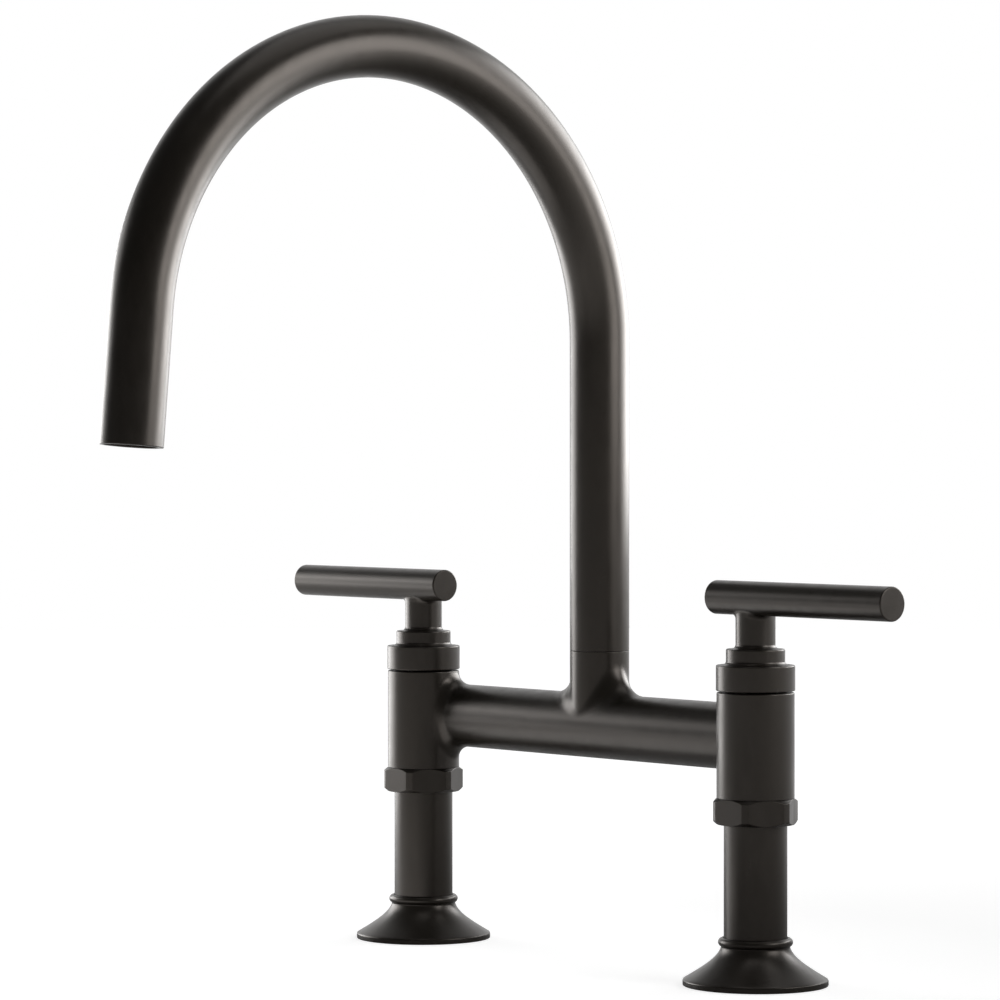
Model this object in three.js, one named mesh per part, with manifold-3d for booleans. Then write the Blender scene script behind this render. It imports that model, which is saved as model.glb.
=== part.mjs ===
// Bridge kitchen faucet: two handle columns joined by a bridge tube, with a swivelling gooseneck.
// Millimetres, +Z up. The origin lies on the deck, midway between the two columns; +X points to
// the cold side and -Y to the person at the sink.

import * as THREE from 'three';
import { mergeVertices } from 'three/addons/utils/BufferGeometryUtils.js';
import Module from 'manifold-3d';

const wasm = await Module();
wasm.setup();

const quarterTurn = 0.5 * Math.PI;

// ---- driving dimensions ----

const seatGap = 0.3; // left between pieces that touch or slide on each other
const columnSpacing = 203.2; // between the two column axes
const deckThickness = 30; // of the worktop that the shanks are clamped to

const escutcheonRadius = 28;
const escutcheonRim = 1.9; // height of its upright edge
// control points [radius, height] of its flare, from the rim up to the neck
const escutcheonFlare = [[27.8, 2.3], [20.2, 6.9], [14.4, 10.5], [13.25, 14.7]];
const beadRadius = 1.7; // of the round bead on the escutcheon's neck
const beadRingRadius = 12.7;
const beadHeight = 16.5;
const gasketRadius = 23.7;
const gasketThickness = 1.7;
const escutcheonLedge = 2.7; // thickness of the ledge that the leg presses down on

const legRadius = 12.2;
const legBore = 9.8;
const legFlangeRadius = 13.2;
const legFlangeThickness = 2;
const legBoreStep = 2; // from the shoulder up to where the bore widens
const legBoreCone = 2;
const shankRadius = 10.4;
const shankBore = 7.6;
const shankLength = 62; // below the deck's top

const deckWasherRadius = 22;
const rubberWasherThickness = 2.5;
const steelWasherThickness = 1.5;
const deckNutFlats = 34;
const deckNutHeight = 10;

const unionNutBase = 62; // above the deck
const unionNutHeight = 11.8;
const unionNutFlats = 30.1;
const unionNutCornerRadius = 16.35;
const unionNutLip = 2.5;
const unionNutFaceMargin = 0.15; // between its end faces' edge and the flats
const unionNutTopChamfer = 1.9; // height of the chamfer at its corners
const unionNutFootChamfer = 1.4;
const unionWasherThickness = 1.5;
const spigotRadius = 13.3; // the threaded end of a column, inside the union nut

const columnRadius = 15;
const columnHeight = 38.2;
const cartridgeBore = 12;
const cartridgeBoreDepth = 28.3; // below the column's top
const inletPartition = 4; // thickness of the wall under the cartridge
const inletPortRadius = 6.6;

const bridgeRadius = 13;
const bridgeBore = 10;
const bridgeSetback = 9.4; // the bridge and riser stand this far behind the column axes
const bridgeRise = 19.6; // bridge axis above the columns' lower end
const bridgeInset = 9; // from a column's axis to the centre of the bridge's domed end
const bridgeFillet = 6;
const filletRoot = 1; // how far a fillet is rooted inside the corner that it fills
const filletSink = 0.15; // how far a fillet's two edges run under the faceted walls
const joinOverlap = 0.1; // where two shapes are joined into one piece
const cutOvershoot = 1; // how far a cutting shape runs past the faces it opens

const spoutRadius = 12;
const spoutWall = 1.5;
const hubRise = 30.4; // top of the riser hub above the bridge axis
const hubFillet = 10;
const pivotBore = 9.6; // bore of the hub that the spout's pivot turns in
const pivotDepth = 22.5;
const spoutRiser = 123.9; // straight length of the spout below its arc
const spoutArcRadius = 112.7;
const spoutArcAngle = THREE.MathUtils.degToRad(175.1);
const spoutDrop = 51.4; // straight length after the arc

const pivotWaterway = 6.4;
const pivotSocket = 11; // length of the pivot inside the spout
const ringGrooveDepth = 1.7;
const ringSection = 0.7; // radius of a sealing ring's round section
const ringInset = 4; // from each end of the pivot's bearing to its sealing ring
const glideWasherThickness = 1.3;
const glideWasherWidth = 1;
const spoutScrewRadius = 2.2;
const spoutScrewLength = 4.4;
const spoutScrewDrop = 12.6; // its axis below the hub's top

const aeratorRecess = 1.5;
const aeratorLength = 12;
const aeratorWall = 2;
const aeratorLip = 0.8;
const screenThickness = 2;
const screenHoleRadius = 1.3;
const screenHolePitch = 4.6;
const screenRows = [2, 3, 2]; // holes in each row of the screen
const aeratorWasherWidth = 3;
const aeratorWasherThickness = 1.5;

const sleeveWall = 2.5; // of the cartridge body
const sleeveLength = 23.2;
const sleeveWindowWidth = 8;
const sleeveWindowHeight = 9;
const sleeveWindowRise = 1; // above the moving disc's underside
const sealThickness = 2;
const fixedDiscThickness = 3;
const movingDiscThickness = 2.5;
const discPortRadius = 2.6;
const discPortOffset = 4.7;
const tangWidth = 3;
const tangDepth = 0.9;
const tangMargin = 2; // between the tang's ends and the disc's edge

const stemRadius = 5;
const stemFootThickness = 2.5;
const stemSplineLength = 10;
const stemSplineTeeth = 12;
const stemSplineDepth = 0.4;
const bonnetHexFlats = 20;
const bonnetHexHeight = 5;

const skirtRadius = 15.25;
const skirtGap = 0.6; // the shadow line between column and skirt
const skirtHeight = 9.9;
const skirtWall = 2.2;
const skirtRoof = 3.9;
const collarRadius = 11.4; // the step between skirt and post
const collarHeight = 5.9;
const collarSpigotRadius = 9;
const collarSpigotDepth = 4.5;
const postRadius = 7.7;
const postHeight = 13.8;
const postFoot = 1.4; // fillet between post and collar
const barRadius = 6.55;
const barRise = 19.4; // bar axis above the collar
const barForward = 3.3; // bar axis in front of the post's axis
const barReach = 77.2; // from the post's axis to the far end
const barTail = 18.5; // from the post's axis to the near end
const socketRoof = 1; // of the lever's socket, below the collar's top
const handleScrewRadius = 2;
const handleScrewLength = 5.4;

const edgeRound = 0.5; // broken edge on turned pieces

// ---- how finely round shapes are cut ----

const columnSides = 28; // of columns, skirts and the casting
const turnedSides = 24; // of other turned pieces
const smallSides = 16; // of washers, seals and screws
const portSides = 12; // of the discs' ports
const screenHoleSides = 6;
const sectionSides = 6; // of a sealing ring's section
const filletSteps = 22; // sections round one fillet
const spoutQuarterSteps = 12; // over the first quarter turn of the spout's arc
const spoutRestSteps = 11; // over the rest of the arc

// ---- heights that follow from them ----

const legShoulder = gasketThickness + seatGap + escutcheonLedge + seatGap;
const legFlangeBase = unionNutBase + unionNutLip + seatGap;
const legTop = legFlangeBase + legFlangeThickness;
const unionWasherBase = legTop + seatGap;
const spigotBase = unionWasherBase + unionWasherThickness + seatGap;
const unionNutTop = unionNutBase + unionNutHeight;
const columnBase = unionNutTop + seatGap;
const columnTop = columnBase + columnHeight;
const bridgeHeight = columnBase + bridgeRise;
const cartridgeSeat = columnTop - cartridgeBoreDepth;

const sealBase = cartridgeSeat + seatGap;
const fixedDiscBase = sealBase + sealThickness + seatGap;
const movingDiscBase = fixedDiscBase + fixedDiscThickness + seatGap;
const stemBase = movingDiscBase + movingDiscThickness + seatGap;
const sleeveTop = sealBase + sleeveLength;
const bonnetBase = sleeveTop + seatGap;
const sleeveRadius = cartridgeBore - seatGap;
const discRadius = sleeveRadius - sleeveWall - seatGap;

const skirtBase = columnTop + skirtGap;
const skirtTop = skirtBase + skirtHeight;
const collarBase = skirtTop + seatGap;
const collarTop = collarBase + collarHeight;
const socketTop = collarTop - socketRoof;
const stemTop = socketTop - seatGap;
const handleScrewHeight = collarBase + 0.5 * collarHeight;

const hubTop = bridgeHeight + hubRise;
const spoutBase = hubTop + seatGap;
const pivotRadius = pivotBore - seatGap;
const pivotBase = hubTop - pivotDepth;
const glideWasherBase = hubTop - glideWasherThickness;
const spoutScrewHeight = hubTop - spoutScrewDrop;
const spoutInner = spoutRadius - spoutWall;
const ringGrooveHeight = 2 * (ringSection + seatGap);
const lowerRingHeight = pivotBase + ringInset;
const upperRingHeight = glideWasherBase - ringInset;

const sides = [
  { name: 'left', sign: -1 },
  { name: 'right', sign: 1 },
];

// ---- shaping helpers ----

function toSolid(geometry) {
  const bare = geometry.clone();
  bare.deleteAttribute('normal');
  bare.deleteAttribute('uv');
  const merged = mergeVertices(bare, 1e-4);
  const corners = merged.index.array;
  const kept = [];
  for (let i = 0; i < corners.length; i += 3) {
    const [a, b, c] = corners.slice(i, i + 3);
    if (a !== b && b !== c && c !== a) kept.push(a, b, c);
  }
  return new wasm.Manifold(new wasm.Mesh({
    numProp: 3,
    vertProperties: new Float32Array(merged.attributes.position.array),
    triVerts: new Uint32Array(kept),
  }));
}

function toGeometry(solid) {
  const mesh = solid.getMesh();
  const geometry = new THREE.BufferGeometry();
  geometry.setAttribute('position', new THREE.BufferAttribute(mesh.vertProperties, 3));
  geometry.setIndex(new THREE.BufferAttribute(mesh.triVerts, 1));
  geometry.computeVertexNormals();
  return geometry;
}

// Turns a profile of [radius, height] points round the Z axis. The points run anticlockwise.
function turned(profile, segments = turnedSides) {
  const loop = profile[0][0] > 0 ? [...profile, profile[0]] : profile;
  const points = loop.map(([radius, height]) => new THREE.Vector2(radius, height));
  return new THREE.LatheGeometry(points, segments).rotateX(quarterTurn);
}

function ring(inner, outer, low, high, segments = smallSides) {
  return turned([[inner, low], [outer, low], [outer, high], [inner, high]], segments);
}

function rod(radius, low, high, segments = turnedSides) {
  return turned([[0, low], [radius, low], [radius, high], [0, high]], segments);
}

function roundRing(ringRadius, sectionRadius, height) {
  const geometry = new THREE.TorusGeometry(ringRadius, sectionRadius, sectionSides, smallSides);
  return geometry.translate(0, 0, height);
}

// Points of an arc in the profile plane, from one angle to another, in degrees.
function arc(centreRadius, centreHeight, radius, from, to, steps) {
  return Array.from({ length: steps + 1 }, (_, i) => {
    const angle = THREE.MathUtils.degToRad(from + ((to - from) * i) / steps);
    return [centreRadius + radius * Math.cos(angle), centreHeight + radius * Math.sin(angle)];
  });
}

function circlePoints(radius, count) {
  return Array.from({ length: count }, (_, i) => {
    const angle = (2 * Math.PI * i) / count;
    return new THREE.Vector2(radius * Math.cos(angle), radius * Math.sin(angle));
  });
}

function prism(points, low, high) {
  const shape = new THREE.Shape(points);
  const geometry = new THREE.ExtrudeGeometry(shape, { depth: high - low, bevelEnabled: false });
  return geometry.translate(0, 0, low);
}

// A hexagon's prism by its width across flats, with two corners on the X axis.
function hexPrism(flats, low, high) {
  return prism(circlePoints(flats / Math.sqrt(3), 6), low, high);
}

// Joins closed sections, each a list of points, into one closed ring.
function loopedSections(sections) {
  const count = sections[0].length;
  const positions = sections.flat().flatMap((point) => point.toArray());
  const index = [];
  sections.forEach((_, i) => {
    const here = i * count;
    const next = ((i + 1) % sections.length) * count;
    for (let j = 0; j < count; j += 1) {
      const k = (j + 1) % count;
      index.push(here + j, next + j, next + k, here + j, next + k, here + k);
    }
  });
  const geometry = new THREE.BufferGeometry();
  geometry.setAttribute('position', new THREE.Float32BufferAttribute(positions, 3));
  geometry.setIndex(index);
  return geometry;
}

// One section of a rolled fillet: the ball's arc between its two contacts, then a root just
// inside the corner of the two walls that it joins.
function filletSection(ball, contactA, contactB, steps) {
  const fromBallA = contactA.clone().sub(ball);
  const fromBallB = contactB.clone().sub(ball);
  const opening = fromBallA.angleTo(fromBallB);
  const cornerDistance = fromBallA.length() / Math.cos(0.5 * opening);
  const root = fromBallA.clone().add(fromBallB).setLength(cornerDistance + filletRoot).add(ball);
  const points = Array.from({ length: steps + 1 }, (_, i) => {
    const share = i / steps;
    const a = Math.sin((1 - share) * opening) / Math.sin(opening);
    const b = Math.sin(share * opening) / Math.sin(opening);
    return ball.clone().addScaledVector(fromBallA, a).addScaledVector(fromBallB, b);
  });
  return [...points, root];
}

// ---- materials ----

const finishes = {
  satinBlack: { color: 0x24221e, roughness: 0.42, metalness: 0.75 },
  brass: { color: 0xb08d4a, roughness: 0.38, metalness: 1 },
  steel: { color: 0x9a9b9c, roughness: 0.35, metalness: 1 },
  ceramic: { color: 0xf0ece2, roughness: 0.25, metalness: 0 },
  rubber: { color: 0x161616, roughness: 0.8, metalness: 0 },
  whitePlastic: { color: 0xdedcd4, roughness: 0.5, metalness: 0 },
};

function piece(name, geometry, finish) {
  const mesh = new THREE.Mesh(geometry, new THREE.MeshStandardMaterial(finishes[finish]));
  mesh.name = name;
  return mesh;
}

// ---- base of each column: escutcheon, leg and what clamps them to the deck ----

function escutcheonShape() {
  const flarePoints = escutcheonFlare.map(([radius, height]) => new THREE.Vector2(radius, height));
  const flare = new THREE.CubicBezierCurve(...flarePoints);
  const recess = gasketRadius + seatGap;
  const recessRoof = gasketThickness + seatGap;
  return turned([
    [recess, 0],
    [escutcheonRadius, 0],
    [escutcheonRadius, escutcheonRim],
    ...flare.getPoints(5).map((point) => point.toArray()),
    ...arc(beadRingRadius, beadHeight, beadRadius, -70, 100, 4),
    [legRadius + seatGap, beadHeight + 0.9 * beadRadius],
    [legRadius + seatGap, recessRoof + escutcheonLedge],
    [shankRadius + seatGap, recessRoof + escutcheonLedge],
    [shankRadius + seatGap, recessRoof],
    [recess, recessRoof],
  ]);
}

function legShape() {
  return turned([
    [shankBore, -shankLength],
    [shankRadius - edgeRound, -shankLength],
    [shankRadius, edgeRound - shankLength],
    [shankRadius, legShoulder],
    [legRadius, legShoulder],
    [legRadius, legFlangeBase],
    [legFlangeRadius, legFlangeBase],
    [legFlangeRadius, legTop],
    [legBore, legTop],
    [legBore, legShoulder + legBoreStep + legBoreCone],
    [shankBore, legShoulder + legBoreStep],
  ]);
}

function deckNutShape(top) {
  const base = top - deckNutHeight;
  const hex = toSolid(hexPrism(deckNutFlats, base, top));
  const bore = rod(shankRadius + seatGap, base - cutOvershoot, top + cutOvershoot);
  return toGeometry(hex.subtract(toSolid(bore)));
}

function baseOf(side) {
  const group = new THREE.Group();
  const washerBore = shankRadius + seatGap;
  const rubberTop = -deckThickness;
  const steelTop = rubberTop - rubberWasherThickness - seatGap;
  const nutTop = steelTop - steelWasherThickness - seatGap;
  group.add(
    piece(`${side.name}_escutcheon`, escutcheonShape(), 'satinBlack'),
    piece(`${side.name}_escutcheon_gasket`, ring(legRadius, gasketRadius, 0, gasketThickness), 'rubber'),
    piece(`${side.name}_leg`, legShape(), 'satinBlack'),
    piece(
      `${side.name}_deck_rubber_washer`,
      ring(washerBore, deckWasherRadius, rubberTop - rubberWasherThickness, rubberTop),
      'rubber',
    ),
    piece(
      `${side.name}_deck_steel_washer`,
      ring(washerBore, deckWasherRadius, steelTop - steelWasherThickness, steelTop),
      'steel',
    ),
    piece(`${side.name}_deck_nut`, deckNutShape(nutTop), 'brass'),
  );
  return group;
}

// ---- union that joins a leg to its column ----

function unionNutShape() {
  const flat = 0.5 * unionNutFlats - unionNutFaceMargin;
  const blank = turned([
    [legRadius + seatGap, unionNutBase],
    [flat, unionNutBase],
    [unionNutCornerRadius, unionNutBase + unionNutFootChamfer],
    [unionNutCornerRadius, unionNutTop - unionNutTopChamfer],
    [flat, unionNutTop],
    [spigotRadius + seatGap, unionNutTop],
    [spigotRadius + seatGap, unionNutBase + unionNutLip],
    [legRadius + seatGap, unionNutBase + unionNutLip],
  ], columnSides);
  const hex = hexPrism(unionNutFlats, unionNutBase - cutOvershoot, unionNutTop + cutOvershoot);
  return toGeometry(toSolid(blank).intersect(toSolid(hex)));
}

function unionOf(side) {
  const group = new THREE.Group();
  const washer = ring(
    legBore,
    legFlangeRadius,
    unionWasherBase,
    unionWasherBase + unionWasherThickness,
  );
  group.add(
    piece(`${side.name}_union_nut`, unionNutShape(), 'satinBlack'),
    piece(`${side.name}_union_washer`, washer, 'rubber'),
  );
  return group;
}

// ---- the casting: both columns, the bridge tube and the hub of the riser ----

function columnSolid() {
  return toSolid(turned([
    [0, spigotBase],
    [spigotRadius, spigotBase],
    [spigotRadius, columnBase],
    [columnRadius - edgeRound, columnBase],
    [columnRadius, columnBase + edgeRound],
    [columnRadius, columnTop - edgeRound],
    [columnRadius - edgeRound, columnTop],
    [0, columnTop],
  ], columnSides));
}

function columnCavity() {
  const inletTop = cartridgeSeat - inletPartition;
  const inlet = rod(legBore, spigotBase - cutOvershoot, inletTop, smallSides);
  const port = rod(inletPortRadius, spigotBase, cartridgeSeat + cutOvershoot, smallSides);
  const bore = rod(cartridgeBore, cartridgeSeat, columnTop + cutOvershoot);
  return toSolid(inlet).add(toSolid(port)).add(toSolid(bore));
}

// A tube along the X axis with a domed end behind each column.
function bridgeBar() {
  const dome = arc(0, 0.5 * columnSpacing - bridgeInset, bridgeRadius, 0, 90, 5);
  const mirrored = dome.map(([r, x]) => [r, -x]).reverse();
  mirrored[0][0] = 0;
  dome[dome.length - 1][0] = 0;
  const bar = turned([...mirrored, ...dome], columnSides).rotateY(quarterTurn);
  return toSolid(bar.translate(0, bridgeSetback, bridgeHeight));
}

// The fillet rolled between a column and the domed bridge tube. It is built round a column at
// x = 0 with the bridge running to +X.
function columnFillet() {
  const nearColumn = columnRadius + bridgeFillet;
  const nearBridge = bridgeRadius + bridgeFillet;
  const front = Math.asin((bridgeSetback - nearBridge) / nearColumn);
  const domeReach = Math.hypot(bridgeInset, bridgeSetback);
  const apart = nearColumn ** 2 + domeReach ** 2 - nearBridge ** 2;
  const back = Math.atan2(bridgeSetback, bridgeInset)
    + Math.acos(apart / (2 * nearColumn * domeReach));
  const sections = Array.from({ length: filletSteps }, (_, i) => {
    const turn = (2 * Math.PI * (i + 0.5)) / filletSteps;
    const bearing = front + (0.5 * (back - front)) * (1 - Math.cos(turn));
    const ball = new THREE.Vector3(nearColumn * Math.cos(bearing), nearColumn * Math.sin(bearing), 0);
    const along = Math.min(ball.x - bridgeInset, 0);
    const rise = nearBridge ** 2 - (ball.y - bridgeSetback) ** 2 - along ** 2;
    ball.z = Math.sign(Math.sin(turn)) * Math.sqrt(Math.max(rise, 0));
    const axisPoint = new THREE.Vector3(Math.max(ball.x, bridgeInset), bridgeSetback, 0);
    const onColumn = new THREE.Vector3(0, 0, ball.z).lerp(ball, (columnRadius - filletSink) / nearColumn);
    const onBridge = axisPoint.lerp(ball, (bridgeRadius - filletSink) / nearBridge);
    return filletSection(ball, onBridge, onColumn, 4);
  });
  return loopedSections(sections).translate(0, 0, bridgeHeight);
}

// The fillet rolled between the hub and the bridge tube, whose axes cross.
function hubFilletRing() {
  const nearHub = spoutRadius + hubFillet;
  const nearBridge = bridgeRadius + hubFillet;
  const sections = Array.from({ length: filletSteps }, (_, i) => {
    const bearing = (2 * Math.PI * i) / filletSteps;
    const x = nearHub * Math.cos(bearing);
    const y = nearHub * Math.sin(bearing);
    const ball = new THREE.Vector3(x, y, Math.sqrt(nearBridge ** 2 - y ** 2));
    const onBridge = new THREE.Vector3(x, 0, 0).lerp(ball, (bridgeRadius - filletSink) / nearBridge);
    const onHub = new THREE.Vector3(0, 0, ball.z).lerp(ball, (spoutRadius - filletSink) / nearHub);
    return filletSection(ball, onBridge, onHub, 3);
  });
  return loopedSections(sections).translate(0, bridgeSetback, bridgeHeight);
}

function castingShape() {
  const half = 0.5 * columnSpacing;
  const fillet = toSolid(columnFillet());
  const cavity = columnCavity();
  const hub = rod(spoutRadius, bridgeHeight, hubTop).translate(0, bridgeSetback, 0);
  let casting = bridgeBar().add(toSolid(hub)).add(toSolid(hubFilletRing()));
  casting = casting.add(columnSolid().translate([-half, 0, 0])).add(fillet.translate([-half, 0, 0]));
  casting = casting.add(columnSolid().translate([half, 0, 0]));
  casting = casting.add(fillet.mirror([1, 0, 0]).translate([half, 0, 0]));
  const boreEnd = half - bridgeInset;
  const waterBore = rod(bridgeBore, -boreEnd, boreEnd, smallSides).rotateY(quarterTurn);
  casting = casting.subtract(toSolid(waterBore.translate(0, bridgeSetback, bridgeHeight)));
  casting = casting.subtract(cavity.translate([-half, 0, 0])).subtract(cavity.translate([half, 0, 0]));
  const pivotHole = rod(pivotBore, pivotBase - seatGap, hubTop + cutOvershoot);
  const washerSeat = rod(
    pivotBore + glideWasherWidth + seatGap,
    glideWasherBase - seatGap,
    hubTop + cutOvershoot,
  );
  const waterway = rod(pivotWaterway, bridgeHeight, pivotBase, smallSides);
  const screwHole = rod(spoutScrewRadius + seatGap, 0, spoutRadius + cutOvershoot, smallSides)
    .rotateX(-quarterTurn)
    .translate(0, 0, spoutScrewHeight);
  [pivotHole, washerSeat, waterway, screwHole].forEach((cut) => {
    casting = casting.subtract(toSolid(cut.translate(0, bridgeSetback, 0)));
  });
  return toGeometry(casting);
}

// ---- quarter-turn cartridge in each column ----

function sleeveShape() {
  const sleeve = toSolid(ring(sleeveRadius - sleeveWall, sleeveRadius, sealBase, sleeveTop));
  const window = new THREE.BoxGeometry(sleeveWindowWidth, 3 * sleeveRadius, sleeveWindowHeight)
    .translate(0, 0, movingDiscBase + 0.5 * sleeveWindowHeight + sleeveWindowRise);
  return toGeometry(sleeve.subtract(toSolid(window)));
}

function discShape(base, thickness, portTurn) {
  const top = base + thickness;
  let disc = toSolid(rod(discRadius, base, top));
  [0, Math.PI].forEach((half) => {
    const port = rod(discPortRadius, base - cutOvershoot, top + cutOvershoot, portSides)
      .translate(discPortOffset, 0, 0)
      .rotateZ(portTurn + half);
    disc = disc.subtract(toSolid(port));
  });
  return disc;
}

function movingDiscShape() {
  const slotLength = 2 * (discRadius + cutOvershoot);
  const slot = new THREE.BoxGeometry(slotLength, tangWidth + 2 * seatGap, 2 * tangDepth)
    .translate(0, 0, movingDiscBase + movingDiscThickness);
  const disc = discShape(movingDiscBase, movingDiscThickness, quarterTurn);
  return toGeometry(disc.subtract(toSolid(slot)));
}

function stemShape() {
  const grooveMiddle = 0.5 * (bonnetBase + columnTop);
  const splineBase = stemTop - stemSplineLength;
  const groove = stemRadius - ringGrooveDepth;
  const body = turned([
    [0, stemBase],
    [discRadius - seatGap, stemBase],
    [discRadius - seatGap, stemBase + stemFootThickness],
    [stemRadius, stemBase + stemFootThickness],
    [stemRadius, grooveMiddle - 0.5 * ringGrooveHeight],
    [groove, grooveMiddle - 0.5 * ringGrooveHeight],
    [groove, grooveMiddle + 0.5 * ringGrooveHeight],
    [stemRadius, grooveMiddle + 0.5 * ringGrooveHeight],
    [stemRadius, splineBase],
    [0, splineBase],
  ], smallSides);
  const tooth = circlePoints(stemRadius, 2 * stemSplineTeeth);
  tooth.forEach((point, i) => point.setLength(stemRadius - (i % 2) * stemSplineDepth));
  const tang = new THREE.BoxGeometry(2 * (discRadius - tangMargin), tangWidth, tangDepth)
    .translate(0, 0, stemBase - 0.5 * tangDepth + joinOverlap);
  const spline = prism(tooth, splineBase - joinOverlap, stemTop);
  return toGeometry(toSolid(body).add(toSolid(tang)).add(toSolid(spline)));
}

function bonnetShape() {
  const thread = toSolid(rod(sleeveRadius, bonnetBase, columnTop));
  const hexTop = columnTop + bonnetHexHeight;
  const hex = toSolid(hexPrism(bonnetHexFlats, columnTop - joinOverlap, hexTop));
  const boreBase = bonnetBase - cutOvershoot;
  const bore = rod(stemRadius + seatGap, boreBase, hexTop + cutOvershoot, smallSides);
  return toGeometry(thread.add(hex).subtract(toSolid(bore)));
}

function cartridgeOf(side) {
  const group = new THREE.Group();
  const ringMiddle = stemRadius - ringGrooveDepth + seatGap + ringSection;
  const seal = ring(inletPortRadius, discRadius, sealBase, sealBase + sealThickness);
  group.add(
    piece(`${side.name}_seat_seal`, seal, 'rubber'),
    piece(
      `${side.name}_fixed_disc`,
      toGeometry(discShape(fixedDiscBase, fixedDiscThickness, 0)),
      'ceramic',
    ),
    piece(`${side.name}_moving_disc`, movingDiscShape(), 'ceramic'),
    piece(`${side.name}_cartridge_sleeve`, sleeveShape(), 'brass'),
    piece(`${side.name}_stem`, stemShape(), 'brass'),
    piece(
      `${side.name}_stem_seal_ring`,
      roundRing(ringMiddle, ringSection, 0.5 * (bonnetBase + columnTop)),
      'rubber',
    ),
    piece(`${side.name}_bonnet_nut`, bonnetShape(), 'brass'),
  );
  return group;
}

// ---- lever handle on each column ----

function skirtShape() {
  return turned([
    [skirtRadius - skirtWall, skirtBase],
    [skirtRadius - edgeRound, skirtBase],
    [skirtRadius, skirtBase + edgeRound],
    [skirtRadius, skirtTop - edgeRound],
    [skirtRadius - edgeRound, skirtTop],
    [collarSpigotRadius + seatGap, skirtTop],
    [collarSpigotRadius + seatGap, skirtTop - skirtRoof],
    [skirtRadius - skirtWall, skirtTop - skirtRoof],
  ], columnSides);
}

function leverShape(side) {
  const postTop = collarTop + postHeight;
  const post = turned([
    [0, collarBase - collarSpigotDepth],
    [collarSpigotRadius, collarBase - collarSpigotDepth],
    [collarSpigotRadius, collarBase],
    [collarRadius - edgeRound, collarBase],
    [collarRadius, collarBase + edgeRound],
    [collarRadius, collarTop - edgeRound],
    [collarRadius - edgeRound, collarTop],
    ...arc(postRadius + postFoot, collarTop + postFoot, postFoot, 270, 180, 2),
    [postRadius, postTop - 3 * edgeRound],
    [postRadius - edgeRound, postTop - edgeRound],
    [postRadius - 3 * edgeRound, postTop],
    [0, postTop],
  ]);
  const bar = turned([
    [0, -barTail],
    [barRadius - edgeRound, -barTail],
    [barRadius, edgeRound - barTail],
    [barRadius, barReach - edgeRound],
    [barRadius - edgeRound, barReach],
    [0, barReach],
  ])
    .rotateY(side.sign * quarterTurn)
    .translate(0, -barForward, collarTop + barRise);
  const socketBase = collarBase - collarSpigotDepth - cutOvershoot;
  const socket = rod(stemRadius + seatGap, socketBase, socketTop, smallSides);
  const screwHole = rod(handleScrewRadius + seatGap, 0, collarRadius + cutOvershoot, smallSides)
    .rotateX(-quarterTurn)
    .translate(0, 0, handleScrewHeight);
  return toGeometry(
    toSolid(post).add(toSolid(bar)).subtract(toSolid(socket)).subtract(toSolid(screwHole)),
  );
}

// A hexagon-socket grub screw along +Y, from an inner to an outer distance from the Z axis.
function grubScrewShape(radius, inner, length, height) {
  const outer = inner + length;
  const point = 0.4 * radius;
  const screw = turned([
    [0, inner],
    [radius - point, inner],
    [radius, inner + point],
    [radius, outer],
    [0, outer],
  ], smallSides);
  const socketFlats = radius;
  const socketBase = outer - socketFlats;
  const socket = hexPrism(socketFlats, socketBase, outer + cutOvershoot);
  const solid = toSolid(screw).subtract(toSolid(socket));
  return toGeometry(solid).rotateX(-quarterTurn).translate(0, 0, height);
}

function handleOf(side) {
  const group = new THREE.Group();
  const screw = grubScrewShape(
    handleScrewRadius,
    stemRadius + seatGap,
    handleScrewLength,
    handleScrewHeight,
  );
  group.add(
    piece(`${side.name}_handle_skirt`, skirtShape(), 'satinBlack'),
    piece(`${side.name}_handle_lever`, leverShape(side), 'satinBlack'),
    piece(`${side.name}_handle_screw`, screw, 'steel'),
  );
  return group;
}

// ---- swivelling gooseneck spout ----

// Lengths along the spout's centre line at which its section is set out: the two straights take
// one step each and the arc takes the others, with one section at its very top.
const spoutStations = [0, spoutRiser];
for (let i = 1; i <= spoutQuarterSteps; i += 1) {
  const turn = (quarterTurn * i) / spoutQuarterSteps;
  spoutStations.push(spoutRiser + spoutArcRadius * turn);
}
for (let i = 1; i <= spoutRestSteps; i += 1) {
  const turn = quarterTurn + ((spoutArcAngle - quarterTurn) * i) / spoutRestSteps;
  spoutStations.push(spoutRiser + spoutArcRadius * turn);
}
spoutStations.push(spoutRiser + spoutArcRadius * spoutArcAngle + spoutDrop);

// The spout's centre line: up the riser, over the arc towards -Y, then straight to the outlet.
class SpoutLine extends THREE.Curve {
  getPoint(share, target = new THREE.Vector3()) {
    const place = THREE.MathUtils.clamp(share, 0, 1) * (spoutStations.length - 1);
    const station = Math.min(Math.floor(place), spoutStations.length - 2);
    const travelled = THREE.MathUtils.lerp(
      spoutStations[station],
      spoutStations[station + 1],
      place - station,
    );
    const arcLength = spoutArcRadius * spoutArcAngle;
    const inArc = THREE.MathUtils.clamp(travelled - spoutRiser, 0, arcLength) / spoutArcRadius;
    const before = Math.min(travelled, spoutRiser);
    const after = Math.max(travelled - spoutRiser - arcLength, 0);
    const reach = spoutArcRadius * (1 - Math.cos(inArc)) + after * Math.sin(inArc);
    const rise = before + spoutArcRadius * Math.sin(inArc) + after * Math.cos(inArc);
    return target.set(0, -reach, rise);
  }

  // Shares stay as they are given, so that the sections fall on the stations.
  getUtoTmapping(share) {
    return share;
  }

  // The exact direction, so that each section stands square to the centre line.
  getTangent(share, target = new THREE.Vector3()) {
    const place = Math.round(share * (spoutStations.length - 1));
    const inArc = (spoutStations[place] - spoutRiser) / spoutArcRadius;
    const turn = THREE.MathUtils.clamp(inArc, 0, spoutArcAngle);
    return target.set(0, -Math.sin(turn), Math.cos(turn));
  }
}

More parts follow.
